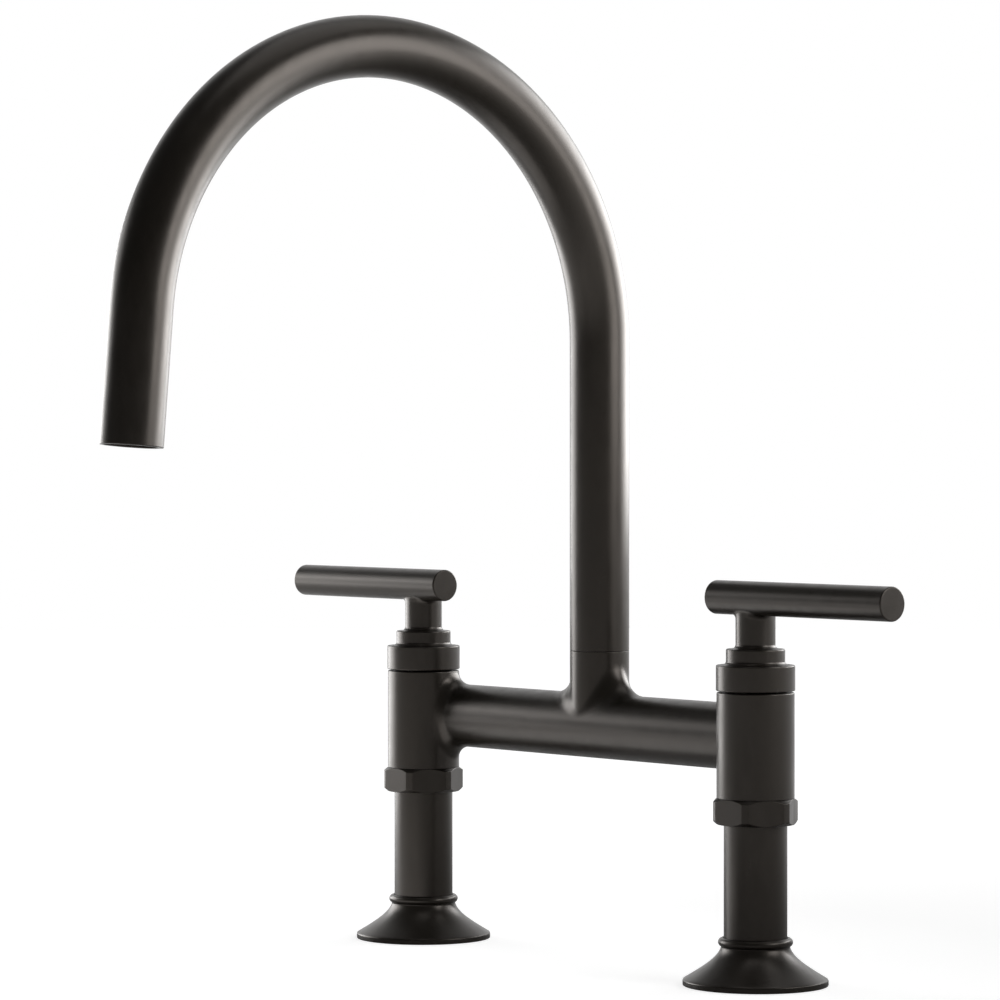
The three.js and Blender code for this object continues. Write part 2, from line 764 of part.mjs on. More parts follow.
function spoutShape() {
  const section = new THREE.Shape(circlePoints(spoutRadius, turnedSides));
  section.holes.push(new THREE.Path(circlePoints(spoutInner, smallSides)));
  return new THREE.ExtrudeGeometry(section, {
    steps: spoutStations.length - 1,
    extrudePath: new SpoutLine(),
  });
}

function pivotShape() {
  const groove = pivotRadius - ringGrooveDepth;
  const grooveAt = (height, width) => [
    [pivotRadius, height - 0.5 * width],
    [groove, height - 0.5 * width],
    [groove, height + 0.5 * width],
    [pivotRadius, height + 0.5 * width],
  ];
  return turned([
    [pivotWaterway, pivotBase],
    [pivotRadius - edgeRound, pivotBase],
    [pivotRadius, pivotBase + edgeRound],
    ...grooveAt(lowerRingHeight, ringGrooveHeight),
    ...grooveAt(spoutScrewHeight, 2 * (spoutScrewRadius + seatGap)),
    ...grooveAt(upperRingHeight, ringGrooveHeight),
    [pivotRadius, spoutBase + seatGap],
    [spoutInner - seatGap, spoutBase + seatGap],
    [spoutInner - seatGap, spoutBase + pivotSocket],
    [pivotWaterway, spoutBase + pivotSocket],
  ], smallSides);
}

function screenShape(radius) {
  const base = aeratorRecess + aeratorLip + seatGap;
  const top = base + screenThickness;
  let screen = toSolid(rod(radius, base, top));
  screenRows.forEach((count, row) => {
    const y = (row - 0.5 * (screenRows.length - 1)) * screenHolePitch * Math.sin(Math.PI / 3);
    for (let i = 0; i < count; i += 1) {
      const x = (i - 0.5 * (count - 1)) * screenHolePitch;
      const hole = rod(screenHoleRadius, base - cutOvershoot, top + cutOvershoot, screenHoleSides);
      screen = screen.subtract(toSolid(hole.translate(x, y, 0)));
    }
  });
  return toGeometry(screen);
}

function aerator() {
  const group = new THREE.Group();
  const housingRadius = spoutInner - seatGap;
  const bore = housingRadius - aeratorWall;
  const housing = turned([
    [bore - aeratorLip, aeratorRecess],
    [housingRadius - edgeRound, aeratorRecess],
    [housingRadius, aeratorRecess + edgeRound],
    [housingRadius, aeratorRecess + aeratorLength],
    [bore, aeratorRecess + aeratorLength],
    [bore, aeratorRecess + aeratorLip],
    [bore - aeratorLip, aeratorRecess + aeratorLip],
  ]);
  const washerBase = aeratorRecess + aeratorLength + seatGap;
  const washer = ring(
    housingRadius - aeratorWasherWidth,
    housingRadius,
    washerBase,
    washerBase + aeratorWasherThickness,
  );
  group.add(
    piece('aerator_housing', housing, 'satinBlack'),
    piece('aerator_screen', screenShape(bore - seatGap), 'whitePlastic'),
    piece('aerator_washer', washer, 'rubber'),
  );
  group.position.copy(new SpoutLine().getPoint(1));
  group.rotation.x = spoutArcAngle - Math.PI;
  return group;
}

function spout() {
  const group = new THREE.Group();
  const ringMiddle = pivotRadius - ringGrooveDepth + seatGap + ringSection;
  const tube = new THREE.Group();
  tube.add(piece('spout_tube', spoutShape(), 'satinBlack'), aerator());
  tube.position.z = spoutBase;
  group.add(
    tube,
    piece('spout_pivot', pivotShape(), 'brass'),
    piece('pivot_ring_lower', roundRing(ringMiddle, ringSection, lowerRingHeight), 'rubber'),
    piece('pivot_ring_upper', roundRing(ringMiddle, ringSection, upperRingHeight), 'rubber'),
    piece(
      'swivel_washer',
      ring(pivotBore, pivotBore + glideWasherWidth, glideWasherBase, hubTop),
      'whitePlastic',
    ),
    piece(
      'spout_screw',
      grubScrewShape(
        spoutScrewRadius,
        pivotRadius - ringGrooveDepth + seatGap,
        spoutScrewLength,
        spoutScrewHeight,
      ),
      'steel',
    ),
  );
  group.position.y = bridgeSetback;
  return group;
}

// ---- the whole faucet ----

const faucet = new THREE.Group();
faucet.add(piece('bridge_casting', castingShape(), 'satinBlack'), spout());
sides.forEach((side) => {
  const column = new THREE.Group();
  column.add(baseOf(side), unionOf(side), cartridgeOf(side), handleOf(side));
  column.position.x = 0.5 * columnSpacing * side.sign;
  faucet.add(column);
});

export default faucet;
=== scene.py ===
import math

import bmesh
import bpy
import numpy as np
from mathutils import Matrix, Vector


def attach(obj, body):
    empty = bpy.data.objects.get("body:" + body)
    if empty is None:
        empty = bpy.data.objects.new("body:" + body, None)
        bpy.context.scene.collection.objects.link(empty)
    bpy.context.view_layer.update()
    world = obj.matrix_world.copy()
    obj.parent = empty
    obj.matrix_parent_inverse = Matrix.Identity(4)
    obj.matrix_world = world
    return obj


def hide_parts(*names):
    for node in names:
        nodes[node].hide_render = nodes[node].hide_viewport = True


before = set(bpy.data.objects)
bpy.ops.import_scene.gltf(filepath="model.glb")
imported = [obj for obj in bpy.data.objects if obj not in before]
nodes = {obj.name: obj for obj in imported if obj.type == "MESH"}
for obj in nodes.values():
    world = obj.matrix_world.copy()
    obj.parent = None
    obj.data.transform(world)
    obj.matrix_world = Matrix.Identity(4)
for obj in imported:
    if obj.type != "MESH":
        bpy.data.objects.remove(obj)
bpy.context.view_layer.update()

millimetre = 0.001
degree = math.pi / 180
fullTurn = 2 * math.pi

softEdge = 0.3  # roundings of edges that hardly show, in millimetres
fineEdge = 0.2
roundingShare = 0.48  # a rounding takes at most this much of the shorter side

layout = {
    "columnOffset": 101.6,  # from the middle to each column's axis
    "bridgeSetback": 9.4,  # bridge and riser stand this far behind the columns
    "bridgeHeight": 93.7,
    "weld": 0.002,  # points closer than this become one
}
sides = {"left": -1, "right": 1}
spots = {side: (sign * layout["columnOffset"], 0, 0) for side, sign in sides.items()}  # the columns' feet


# An arc in a profile, from one angle to another in degrees.
def arcPoints(centreRadius, centreHeight, radius, start, end, steps):
    turns = np.radians(np.linspace(start, end, steps + 1))
    return [(centreRadius + radius * math.cos(a), centreHeight + radius * math.sin(a)) for a in turns]


# Rows of a profile, each with one radius and one height per angle. A corner is (radius, height)
# or (radius, height, how far its rounding cuts back along both sides).
def profileRows(corners, count, closed, steps=3):
    spots = [np.array([np.broadcast_to(c[0], count), np.broadcast_to(c[1], count)], float) for c in corners]
    rows = []
    for i, spot in enumerate(spots):
        softness = corners[i][2] if len(corners[i]) > 2 else 0
        if not softness or (not closed and i in (0, len(spots) - 1)):
            rows.append(spot)
            continue
        back = spots[i - 1] - spot
        ahead = spots[(i + 1) % len(spots)] - spot
        backLength = np.maximum(np.linalg.norm(back, axis=0), 1e-9)
        aheadLength = np.maximum(np.linalg.norm(ahead, axis=0), 1e-9)
        cut = np.minimum(softness, roundingShare * np.minimum(backLength, aheadLength))
        first = spot + back * cut / backLength
        last = spot + ahead * cut / aheadLength
        for share in np.linspace(0, 1, steps + 1):
            rows.append((1 - share) ** 2 * first + 2 * share * (1 - share) * spot + share ** 2 * last)
    if closed:
        rows.append(rows[0])
    return rows


# Turns a profile round the Z axis. Angles can be uneven, so that a sheet joins its neighbours.
def turned(corners, count=96, angles=None, closed=None, steps=3, centre=(0, 0)):
    if angles is None:
        angles = np.arange(count) * fullTurn / count
    if closed is None:
        closed = bool(np.min(corners[0][0]) > 0)
    rows = profileRows(corners, len(angles), closed, steps)
    reach, height = np.moveaxis(np.array(rows), 1, 0)
    return pointsAt(centre[0] + reach * np.cos(angles), centre[1] + reach * np.sin(angles), height), True


def moved(sheet, offset=(0, 0, 0), mirror=False):
    points = sheet[0] * np.array([-1 if mirror else 1, 1, 1])
    return points + np.array(offset, float), sheet[1]


# Lays a sheet turned round Z along another axis: +Y for screws, +X for bars.
def laidAlong(sheet, axis):
    x, y, z = np.moveaxis(sheet[0], -1, 0)
    return pointsAt(*((x, z, -y) if axis == "y" else (z, y, -x))), sheet[1]


# Rows that lead evenly from one curve to another.
def blended(first, last, count):
    return np.array([first + (last - first) * i / count for i in range(count + 1)])


def pointsAt(x, y, z):
    return np.stack(np.broadcast_arrays(x, y, z), axis=-1)


# A flat ring; the four edges' roundings start at the lower edge of the bore.
def washerSheet(bore, radius, low, high, edges):
    corners = ((bore, low), (radius, low), (radius, high), (bore, high))
    return turned([(*corner, edge) for corner, edge in zip(corners, edges)])


# A sheet is a grid of points, in rows, and whether each row closes on itself.
def meshOf(name, sheets):
    points, faces, count = [], [], 0
    for rows, wrap in sheets:
        high, wide = rows.shape[:2]
        index = count + np.arange(high * wide).reshape(high, wide)
        if wrap:
            index = np.hstack([index, index[:, :1]])
        quads = np.stack([index[:-1, :-1], index[:-1, 1:], index[1:, 1:], index[1:, :-1]], axis=-1)
        points.append(rows.reshape(-1, 3))
        faces += quads.reshape(-1, 4).tolist()
        count += high * wide
    mesh = bpy.data.meshes.new(name)
    mesh.from_pydata((np.vstack(points) * millimetre).tolist(), [], faces)
    return mesh


def weld(mesh, extra=None):
    form = bmesh.new()
    form.from_mesh(mesh)
    if extra:
        form.from_mesh(extra)
    bmesh.ops.remove_doubles(form, verts=form.verts, dist=layout["weld"] * millimetre)
    bmesh.ops.recalc_face_normals(form, faces=form.faces)
    for face in form.faces:
        face.smooth = True
    form.to_mesh(mesh)
    form.free()


def evaluatedMesh(thing):
    bpy.context.view_layer.update()
    depsgraph = bpy.context.evaluated_depsgraph_get()
    return bpy.data.meshes.new_from_object(thing.evaluated_get(depsgraph))


def changePoints(mesh, change):
    points = np.array([v.co for v in mesh.vertices], float)
    mesh.vertices.foreach_set("co", change(points).ravel())


def placed(name, data):
    thing = bpy.data.objects.new(name, data)
    bpy.context.scene.collection.objects.link(thing)
    return thing


def drill(thing, tool):
    weld(tool)
    cutter = placed("cutter", tool)
    hole = thing.modifiers.new("hole", "BOOLEAN")
    hole.object = cutter
    hole.solver = "EXACT"
    cut = evaluatedMesh(thing)
    thing.modifiers.clear()
    thing.data = cut
    bpy.data.objects.remove(cutter)


def finishPiece(thing, look, body, stands):
    thing.data.materials.clear()
    thing.data.materials.append(look)
    even = thing.modifiers.new("evenShade", "WEIGHTED_NORMAL")
    even.keep_sharp = True
    even.weight = 90
    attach(thing, body)
    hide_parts(*stands)


def makePiece(name, sheets, look, body, stands):
    mesh = meshOf(name, sheets)
    weld(mesh)
    finishPiece(placed(name, mesh), look, body, stands)


# Makes the same pieces of the base at both columns. Each is (name, sheets, look, slot, solid).
def makeSets(pieces):
    for side, spot in spots.items():
        for name, sheets, look, slotName, solid in pieces:
            sheetsHere = [moved(sheet, spot) for sheet in sheets]
            makePiece(side + name, sheetsHere, look, "base", [side + "_" + solid])


noiseRange = (0.3, 0.7)


# The nodes of a material or of the world.
class Nodes:
    def __init__(self, owner, shader="Principled BSDF", coordinates="Object"):
        owner.use_nodes = True
        self.look = owner
        self.tree = owner.node_tree
        self.shader = self.tree.nodes[shader]
        self.place = self.add("ShaderNodeTexCoord").outputs[coordinates]

    def add(self, kind, **values):
        node = self.tree.nodes.new(kind)
        for key, value in values.items():
            if key in node.inputs:
                node.inputs[key].default_value = value
            else:
                setattr(node, key, value)
        return node

    def wire(self, source, target):
        self.tree.links.new(source, target)

    def noise(self, scale, detail=2.0, stretch=None, rough=0.5):
        node = self.add("ShaderNodeTexNoise", Scale=scale, Detail=detail, Roughness=rough)
        place = self.place
        if stretch:
            mapping = self.add("ShaderNodeMapping", Scale=stretch)
            self.wire(place, mapping.inputs["Vector"])
            place = mapping.outputs["Vector"]
        self.wire(place, node.inputs["Vector"])
        return node.outputs["Fac"]

    # Fills a node's inputs in turn with numbers or with what other nodes give.
    def feed(self, node, *values):
        for socket, value in zip(node.inputs, values):
            if isinstance(value, (int, float)):
                socket.default_value = value
            else:
                self.wire(value, socket)

    def fit(self, value, low, high, outLow, outHigh, curve="LINEAR"):
        node = self.add("ShaderNodeMapRange", interpolation_type=curve)
        self.feed(node, value, low, high, outLow, outHigh)
        return node.outputs["Result"]

    # A noise's usual range, spread over another one.
    def spread(self, value, outLow, outHigh):
        return self.fit(value, *noiseRange, outLow, outHigh)

    def combine(self, first, second, operation="ADD"):
        node = self.add("ShaderNodeMath", operation=operation)
        self.feed(node, first, second)
        return node.outputs[0]

    def mix(self, factor, first, second):
        node = self.add("ShaderNodeMix", data_type="RGBA")
        self.wire(factor, node.inputs["Factor"])
        for socket, value in ((node.inputs[6], first), (node.inputs[7], second)):
            if isinstance(value, tuple):
                socket.default_value = (*value, 1)
            else:
                self.wire(value, socket)
        return node.outputs[2]

    def bump(self, height, distance):
        node = self.add("ShaderNodeBump", Strength=1.0, Distance=distance)
        self.wire(height, node.inputs["Height"])
        self.wire(node.outputs["Normal"], self.shader.inputs["Normal"])

    def colour(self, source):
        self.wire(source, self.shader.inputs["Base Color"])

    def roughness(self, source):
        self.wire(source, self.shader.inputs["Roughness"])

    def set(self, key, value):
        self.shader.inputs[key].default_value = value


satinBlackFinish = {
    "deepColour": (0.0064, 0.0052, 0.0037),
    "raisedColour": (0.0104, 0.0085, 0.0062),
    "edgeColour": (0.030, 0.026, 0.021),  # where the coat is thinnest, on worn edges
    "reflectionTint": (1.0, 0.90, 0.82, 1),
    "roughness": (0.29, 0.36), "grainRoughness": 0.02,
    "grain": 0.35, "grainHeight": 0.006,  # millimetres
    "fleckRange": (0.35, 0.65), "fleckShare": 0.35,
    "wornRange": (0.53, 0.62), "wornShare": 0.5,  # how far an edge stands out before it wears
    "cloudScale": 45.0, "smearScale": 260.0, "smearStretch": (1, 1, 0.35),
}
turnedFinish = {
    "pitch": 0.12, "height": 0.004,  # millimetres between the tool's lines, and how deep they are
    "lineStretch": 40, "cloudScale": 70.0, "lineShare": 0.3,
    "cloudRoughness": (-0.04, 0.05),
}
rubberFinish = {
    "colours": ((0.010, 0.010, 0.010), (0.022, 0.021, 0.020)), "roughness": (0.62, 0.85),
    "grainScale": 1800.0, "grainHeight": 0.02,
    "bloomScale": 60.0, "bloomRange": (0.35, 0.75),
}
paleFinish = {"cloudScale": 90.0, "grainHeight": 0.003}


# A thin satin coat over blasted metal: cloudy tone, fine grain, slightly polished edges.
def satinBlack(name):
    s = satinBlackFinish
    made = Nodes(bpy.data.materials.new(name))
    clouds = made.noise(s["cloudScale"], 4.0)
    grain = made.noise(1 / (s["grain"] * millimetre))
    tone = made.spread(clouds, 0.0, 1.0)
    flecks = made.fit(grain, *s["fleckRange"], 0.0, s["fleckShare"])
    colour = made.mix(made.combine(tone, flecks), s["deepColour"], s["raisedColour"])
    edges = made.add("ShaderNodeNewGeometry").outputs["Pointiness"]
    rubbed = made.fit(edges, *s["wornRange"], 0.0, s["wornShare"])
    worn = made.combine(rubbed, made.spread(clouds, 0.3, 1.0), "MULTIPLY")
    made.colour(made.mix(worn, colour, s["edgeColour"]))
    smears = made.noise(s["smearScale"], 3.0, s["smearStretch"])
    fine = made.spread(grain, -s["grainRoughness"], s["grainRoughness"])
    made.roughness(made.combine(made.spread(smears, *s["roughness"]), fine))
    made.bump(grain, s["grainHeight"] * millimetre)
    made.set("Specular Tint", s["reflectionTint"])
    return made.look


def turnedMetal(name, colourA, colourB, roughness):
    s = turnedFinish
    made = Nodes(bpy.data.materials.new(name))
    lines = made.noise(1.0, 3.0, (s["lineStretch"], s["lineStretch"], 1 / (s["pitch"] * millimetre)))
    clouds = made.noise(s["cloudScale"], 4.0)
    cloudy = made.spread(clouds, 0.0, 1 - s["lineShare"])
    tone = made.combine(cloudy, made.spread(lines, 0.0, s["lineShare"]))
    made.colour(made.mix(tone, colourA, colourB))
    made.roughness(made.combine(made.spread(lines, *roughness), made.spread(clouds, *s["cloudRoughness"])))
    made.bump(lines, s["height"] * millimetre)
    made.set("Metallic", 1.0)
    return made.look


def mouldedRubber(name):
    s = rubberFinish
    made = Nodes(bpy.data.materials.new(name))
    grain = made.noise(s["grainScale"], 3.0)
    bloom = made.noise(s["bloomScale"], 5.0, rough=0.6)
    made.colour(made.mix(made.fit(bloom, *s["bloomRange"], 0.0, 1.0), *s["colours"]))
    made.roughness(made.spread(bloom, *s["roughness"]))
    made.bump(grain, s["grainHeight"] * millimetre)
    return made.look


def palePart(name, colourA, colourB, roughness, grainScale):
    s = paleFinish
    made = Nodes(bpy.data.materials.new(name))
    grain = made.noise(grainScale, 3.0)
    cloud = made.noise(s["cloudScale"], 3.0)
    made.colour(made.mix(made.spread(cloud, 0.0, 1.0), colourA, colourB))
    made.roughness(made.spread(grain, *roughness))
    made.bump(grain, s["grainHeight"] * millimetre)
    return made.look


satinBlackLook = satinBlack("satinBlackCoat")
brassLook = turnedMetal("turnedBrass", (0.43, 0.29, 0.105), (0.56, 0.40, 0.17), (0.26, 0.42))
steelLook = turnedMetal("zincSteel", (0.36, 0.37, 0.38), (0.50, 0.50, 0.50), (0.28, 0.44))
# Near-black brass for the bonnet nuts: painted shade, so the gap between column top and skirt reads dark
# instead of showing brass.
gapShadeBrassLook = turnedMetal("brassPaintedAsGapShade", (0.012, 0.010, 0.008), (0.022, 0.018, 0.013), (0.45, 0.6))
rubberLook = mouldedRubber("blackRubber")
ceramicLook = palePart("firedCeramic", (0.80, 0.77, 0.70), (0.86, 0.84, 0.79), (0.18, 0.28), 900.0)
plasticLook = palePart("whiteAcetal", (0.68, 0.67, 0.62), (0.76, 0.75, 0.71), (0.42, 0.55), 1400.0)
print("finishes: 7 made")


hexCells = {"flat": 8, "corner": 4}
brokenTurn = 0.35 * degree  # half of the thin broken edge between a flat and a corner
sixth = 60 * degree


# Angles round a hexagon with corners on the X axis: even steps along each flat, then a few
# steps over the turned-down corner, with a thin broken edge between the two.
def hexAngles(flats, cornerRadius, turn=0.0):
    half = math.acos(0.5 * flats / cornerRadius)
    flat = np.linspace(brokenTurn - half, half - brokenTurn, hexCells["flat"] + 1)
    corner = np.linspace(half + brokenTurn, sixth - half - brokenTurn, hexCells["corner"] + 1)
    step = np.concatenate([flat, corner])
    return np.concatenate([0.5 * sixth + sixth * i + step for i in range(6)]) + turn


def hexReach(angles, flats, cornerRadius=math.inf, turn=0.0):
    fromFlat = np.mod(angles - turn, sixth) - 0.5 * sixth
    return np.minimum(0.5 * flats / np.cos(fromFlat), cornerRadius)


# For a nut whose corners are turned down to a cone: angles, reach, the radius of its flat faces
# and what share of the cone's height is cut away at each angle.
def hexNut(s, turn=0.0):
    angles = hexAngles(s["flats"], s["cornerRadius"], turn)
    reach = hexReach(angles, s["flats"], s["cornerRadius"], turn)
    face = 0.5 * s["flats"] - s["faceInset"]
    return angles, reach, face, (reach - face) / (s["cornerRadius"] - face)


# Escutcheon, gasket and leg: one set under each column.
escutcheonSizes = {
    "radius": 28.0, "rim": 1.9, "rimSoftness": 0.35,
    "flare": ((27.8, 2.3), (20.2, 6.9), (14.4, 10.5), (13.25, 14.7)),
    "bead": 1.7, "beadRing": 12.7, "beadHeight": 16.5, "beadArc": (-68, 96),
    "bore": 12.5, "ledgeBore": 10.7, "ledgeTop": 4.7,
    "recess": 24.0, "recessRoof": 2.0, "count": 128,
}
gasketSizes = {"bore": 12.2, "radius": 23.7, "low": 0, "high": 1.7, "edges": (0.25, 0.4, 0.4, 0.25)}
legSizes = {
    "radius": 12.2, "bore": 9.8, "shoulder": 5.0, "flangeRadius": 13.2, "flangeBase": 64.8, "top": 66.8,
    "boreStep": 9.0, "stepDrop": 2.0,
    "shankRadius": 10.4, "shankBore": 7.6, "shankEnd": -62.0, "endChamfer": 0.5,
    "threadPitch": 1.8, "threadDepth": 0.62, "threadLow": -61.2, "threadHigh": -3.5,
    "relief": (0.8, 1.2),  # above the thread, where the shank widens again
    "count": 96,
}


# A curve with four control points, from the first to the last.
def curvePoints(controls, steps):
    a, b, c, d = (np.array(p, float) for p in controls)
    points = []
    for s in np.linspace(0, 1, steps + 1):
        left = 1 - s
        points.append(tuple(left ** 3 * a + 3 * left ** 2 * s * b + 3 * left * s ** 2 * c + s ** 3 * d))
    return points


def escutcheonSheet():
    s = escutcheonSizes
    return turned([
        (s["recess"], 0, softEdge), (s["radius"], 0, softEdge), (s["radius"], s["rim"], s["rimSoftness"]),
        *curvePoints(s["flare"], 28),
        *arcPoints(s["beadRing"], s["beadHeight"], s["bead"], *s["beadArc"], 16),
        (s["bore"], s["beadHeight"] + 0.9 * s["bead"]), (s["bore"], s["ledgeTop"]),
        (s["ledgeBore"], s["ledgeTop"], fineEdge), (s["ledgeBore"], s["recessRoof"], fineEdge),
        (s["recess"], s["recessRoof"]),
    ], s["count"])


threadForm = ((0.0, 0.0), (0.36, 1.0), (0.5, 1.0), (0.86, 0.0))  # share of the pitch, share of the depth


# A helical thread: rows follow the helix, four to a pitch, and run out to the root at both ends.
def threadSheet():
    s = legSizes
    low, high, pitch = s["threadLow"], s["threadHigh"], s["threadPitch"]
    root = s["shankRadius"] - s["threadDepth"]
    turns = math.ceil((high - low) / pitch) + 2
    angles = np.arange(s["count"] + 1) * fullTurn / s["count"]
    rows = []
    for k in range(-1, turns):
        for place, share in threadForm:
            z = low + pitch * (k + place + angles / fullTurn)
            inside = (z > low) & (z < high)
            reach = np.where(inside, s["shankRadius"] - s["threadDepth"] * (1 - share), root)
            z = np.clip(z, low, high)
            rows.append(pointsAt(reach * np.cos(angles), reach * np.sin(angles), z))
    return np.array(rows), False


def legSheets():
    s = legSizes
    root = s["shankRadius"] - s["threadDepth"]
    reliefStart, reliefEnd = s["relief"]
    body = turned([
        (root, s["threadHigh"]), (root, s["threadHigh"] + reliefStart, 0.1),
        (s["shankRadius"], s["threadHigh"] + reliefEnd, 0.1), (s["shankRadius"], s["shoulder"]),
        (s["radius"], s["shoulder"], softEdge), (s["radius"], s["flangeBase"]),
        (s["flangeRadius"], s["flangeBase"], fineEdge), (s["flangeRadius"], s["top"], softEdge),
        (s["bore"], s["top"], softEdge), (s["bore"], s["boreStep"]),
        (s["shankBore"], s["boreStep"] - s["stepDrop"]), (s["shankBore"], s["shankEnd"], softEdge),
        (root - s["endChamfer"], s["shankEnd"], fineEdge), (root, s["shankEnd"] + s["endChamfer"]),
        (root, s["threadLow"]),
    ], s["count"], closed=False)
    return [body, threadSheet()]


makeSets([
    ("EscutcheonCover", [escutcheonSheet()], satinBlackLook, "satin_black", "escutcheon"),
    ("EscutcheonGasket", [washerSheet(**gasketSizes)], rubberLook, "rubber", "escutcheon_gasket"),
    ("ColumnLeg", legSheets(), satinBlackLook, "satin_black", "leg"),
])
print("escutcheons and legs: done")


# What clamps the legs under the deck.
rubberWasherSizes = {
    "bore": 10.7, "radius": 22.0, "top": -30.0, "base": -32.5,
    "ribs": 3, "ribPitch": 3.2, "ribInset": 2.2, "ribHeight": 0.35, "ribHalf": (0.9, 0.5),  # at foot and top
}
steelWasherSizes = {
    "bore": 10.7, "radius": 22.0, "low": -34.3, "high": -32.8, "edges": (0.2, 0.25, 0.45, 0.3),
}
deckNutSizes = {
    "bore": 10.7, "flats": 34.0, "cornerRadius": 19.2, "top": -34.6, "base": -44.6,
    "faceInset": 0.3, "chamfer": 1.6, "boreChamfer": 0.8,
}


def rubberWasherSheet():
    s = rubberWasherSizes
    field = s["top"] - s["ribHeight"]
    foot, crest = s["ribHalf"]
    ribs = []
    for k in range(s["ribs"]):  # moulded ribs on its upper face
        middle = s["radius"] - s["ribInset"] - s["ribPitch"] * k
        for reach, z in ((foot, field), (crest, s["top"]), (-crest, s["top"]), (-foot, field)):
            ribs.append((middle + reach, z, fineEdge))
    return turned([
        (s["bore"], s["base"], softEdge), (s["radius"], s["base"], 0.5), (s["radius"], field, 0.4),
        *ribs, (s["bore"], field, softEdge),
    ])


def deckNutSheet():
    s = deckNutSizes
    angles, reach, face, cone = hexNut(s)
    chamfer = s["boreChamfer"]
    return turned([
        (s["bore"], s["base"] + chamfer), (s["bore"] + chamfer, s["base"], fineEdge),
        (face, s["base"], 0.25), (reach, s["base"] + s["chamfer"] * cone, softEdge),
        (reach, s["top"] - s["chamfer"] * cone, softEdge), (face, s["top"], 0.25),
        (s["bore"] + chamfer, s["top"], fineEdge), (s["bore"], s["top"] - chamfer),
    ], angles=angles)


makeSets([
    ("DeckRubberWasher", [rubberWasherSheet()], rubberLook, "rubber", "deck_rubber_washer"),
    ("DeckSteelWasher", [washerSheet(**steelWasherSizes)], steelLook, "steel", "deck_steel_washer"),
    ("DeckNut", [deckNutSheet()], brassLook, "brass", "deck_nut"),
])
print("deck clamps: done")


# Union nuts: hexagons between leg and column, their corners turned down to a cone.
unionNutSizes = {
    "base": 61.7, "top": 71.7, "flats": 30.1, "cornerRadius": 16.6, "faceInset": 0.1,
    "topChamfer": 1.25, "footChamfer": 1.4, "faceEdge": 0.12, "chamferEdge": 0.16,
    "lipTop": 64.5, "lipBore": 12.5, "bore": 13.6,
    "turn": {"left": 0.0, "right": 3.0},  # degrees
}


def unionNutSheet(turn):
    s = unionNutSizes
    angles, reach, face, cone = hexNut(s, turn)
    return turned([
        (s["lipBore"], s["base"], fineEdge), (face, s["base"], s["faceEdge"]),
        (reach, s["base"] + s["footChamfer"] * cone, s["chamferEdge"]),
        (reach, s["top"] - s["topChamfer"] * cone, s["chamferEdge"]),
        (face, s["top"], s["faceEdge"]), (s["bore"], s["top"], fineEdge),
        (s["bore"], s["lipTop"]), (s["lipBore"], s["lipTop"]),
    ], angles=angles, steps=4)


for side, spot in spots.items():
    nut = unionNutSheet(unionNutSizes["turn"][side] * degree)
    makePiece(side + "UnionNut", [moved(nut, spot)], satinBlackLook, "base",
              [side + "_union_nut"])
print("union nuts: done")


# One casting: two columns, the bridge between them and the hub of the riser. The sheets share
# their edge points: each fillet is made of arcs, and rows lead from them over wall and tube.
castingSizes = {
    "columnRadius": 15.0, "columnBase": 71.75, "columnTop": 112.3, "columnEdge": 0.5, "footEdge": 0.15,
    "bridgeRadius": 13.0, "domeInset": 9.0, "columnFillet": 6.0, "filletClearance": 0.15,
    "cartridgeBore": 12.0, "cartridgeSeat": 84.0, "portRadius": 6.6, "inletTop": 80.0, "inletBore": 9.8,
    "spigotRadius": 13.3, "spigotBase": 68.9,
    "hubRadius": 12.0, "hubTop": 124.1, "hubEdge": 0.16, "hubFillet": 13.0,
    "washerSeat": 10.9, "washerSeatBase": 122.5, "pivotBore": 9.6, "pivotFloor": 101.3,
    "screwHole": 2.5, "screwHeight": 111.5,
    "patchHalf": 30.0,  # the hub's patch reaches this far along the bridge
    "patchStart": 8.0, "patchEnd": 172.0,  # and from here to there round it, in degrees
}
castingCells = {
    "columnFront": 8, "columnAcross": 48, "columnRest": 60, "columnHeight": 8, "columnWall": 4,
    "columnFillet": 10, "tube": 28,
    "hubAcross": 48, "hubAlong": 32, "hubUnder": 64, "hubPatch": 5, "hubFillet": 14, "hubWall": 7,
}
columnTurns = (0, 20, 160, 200, 340, 360)  # degrees round the fillet at the ends of its stretches
hubTurns = (-50, 50, 130, 230, 310)
besideFillet = 12 * degree  # the column's patch reaches this far past the fillet on both sides


# The angle between a rolling ball's two contacts, for each of many balls.
def ballOpening(balls, fromContacts, toContacts):
    a, b = fromContacts - balls, toContacts - balls
    size = np.linalg.norm(a, axis=1) * np.linalg.norm(b, axis=1)
    return np.arccos(np.clip(np.sum(a * b, axis=1) / size, -1, 1))


# Rows of arcs over the balls from one contact to the other, or to a share of the way there.
def ballRows(balls, fromContacts, toContacts, cells, lastShare=1):
    a, b = fromContacts - balls, toContacts - balls
    opening = ballOpening(balls, fromContacts, toContacts)
    whole = opening[:, None]
    rows = []
    for share in np.linspace(0, 1, cells + 1):
        at = (share * lastShare * opening)[:, None]
        rows.append(balls + (a * np.sin(whole - at) + b * np.sin(at)) / np.sin(whole))
    return np.array(rows)


# Spreads sections round a rectangle from its first corner, with so many to its sides in turn.
def perimeter(sections, corners, cells):
    cuts = np.cumsum([0, *cells, *cells])
    around = np.array([*corners, corners[0]])
    return np.stack([np.interp(sections, cuts, around[:, i]) for i in (0, 1)], axis=1)


def bridgePoint(x, bearing):
    s = castingSizes
    return pointsAt(x, layout["bridgeSetback"] - s["bridgeRadius"] * np.cos(bearing),
                    layout["bridgeHeight"] + s["bridgeRadius"] * np.sin(bearing))


def columnPoint(bearing, z):
    radius = castingSizes["columnRadius"]
    return pointsAt(radius * np.cos(bearing), radius * np.sin(bearing), z)


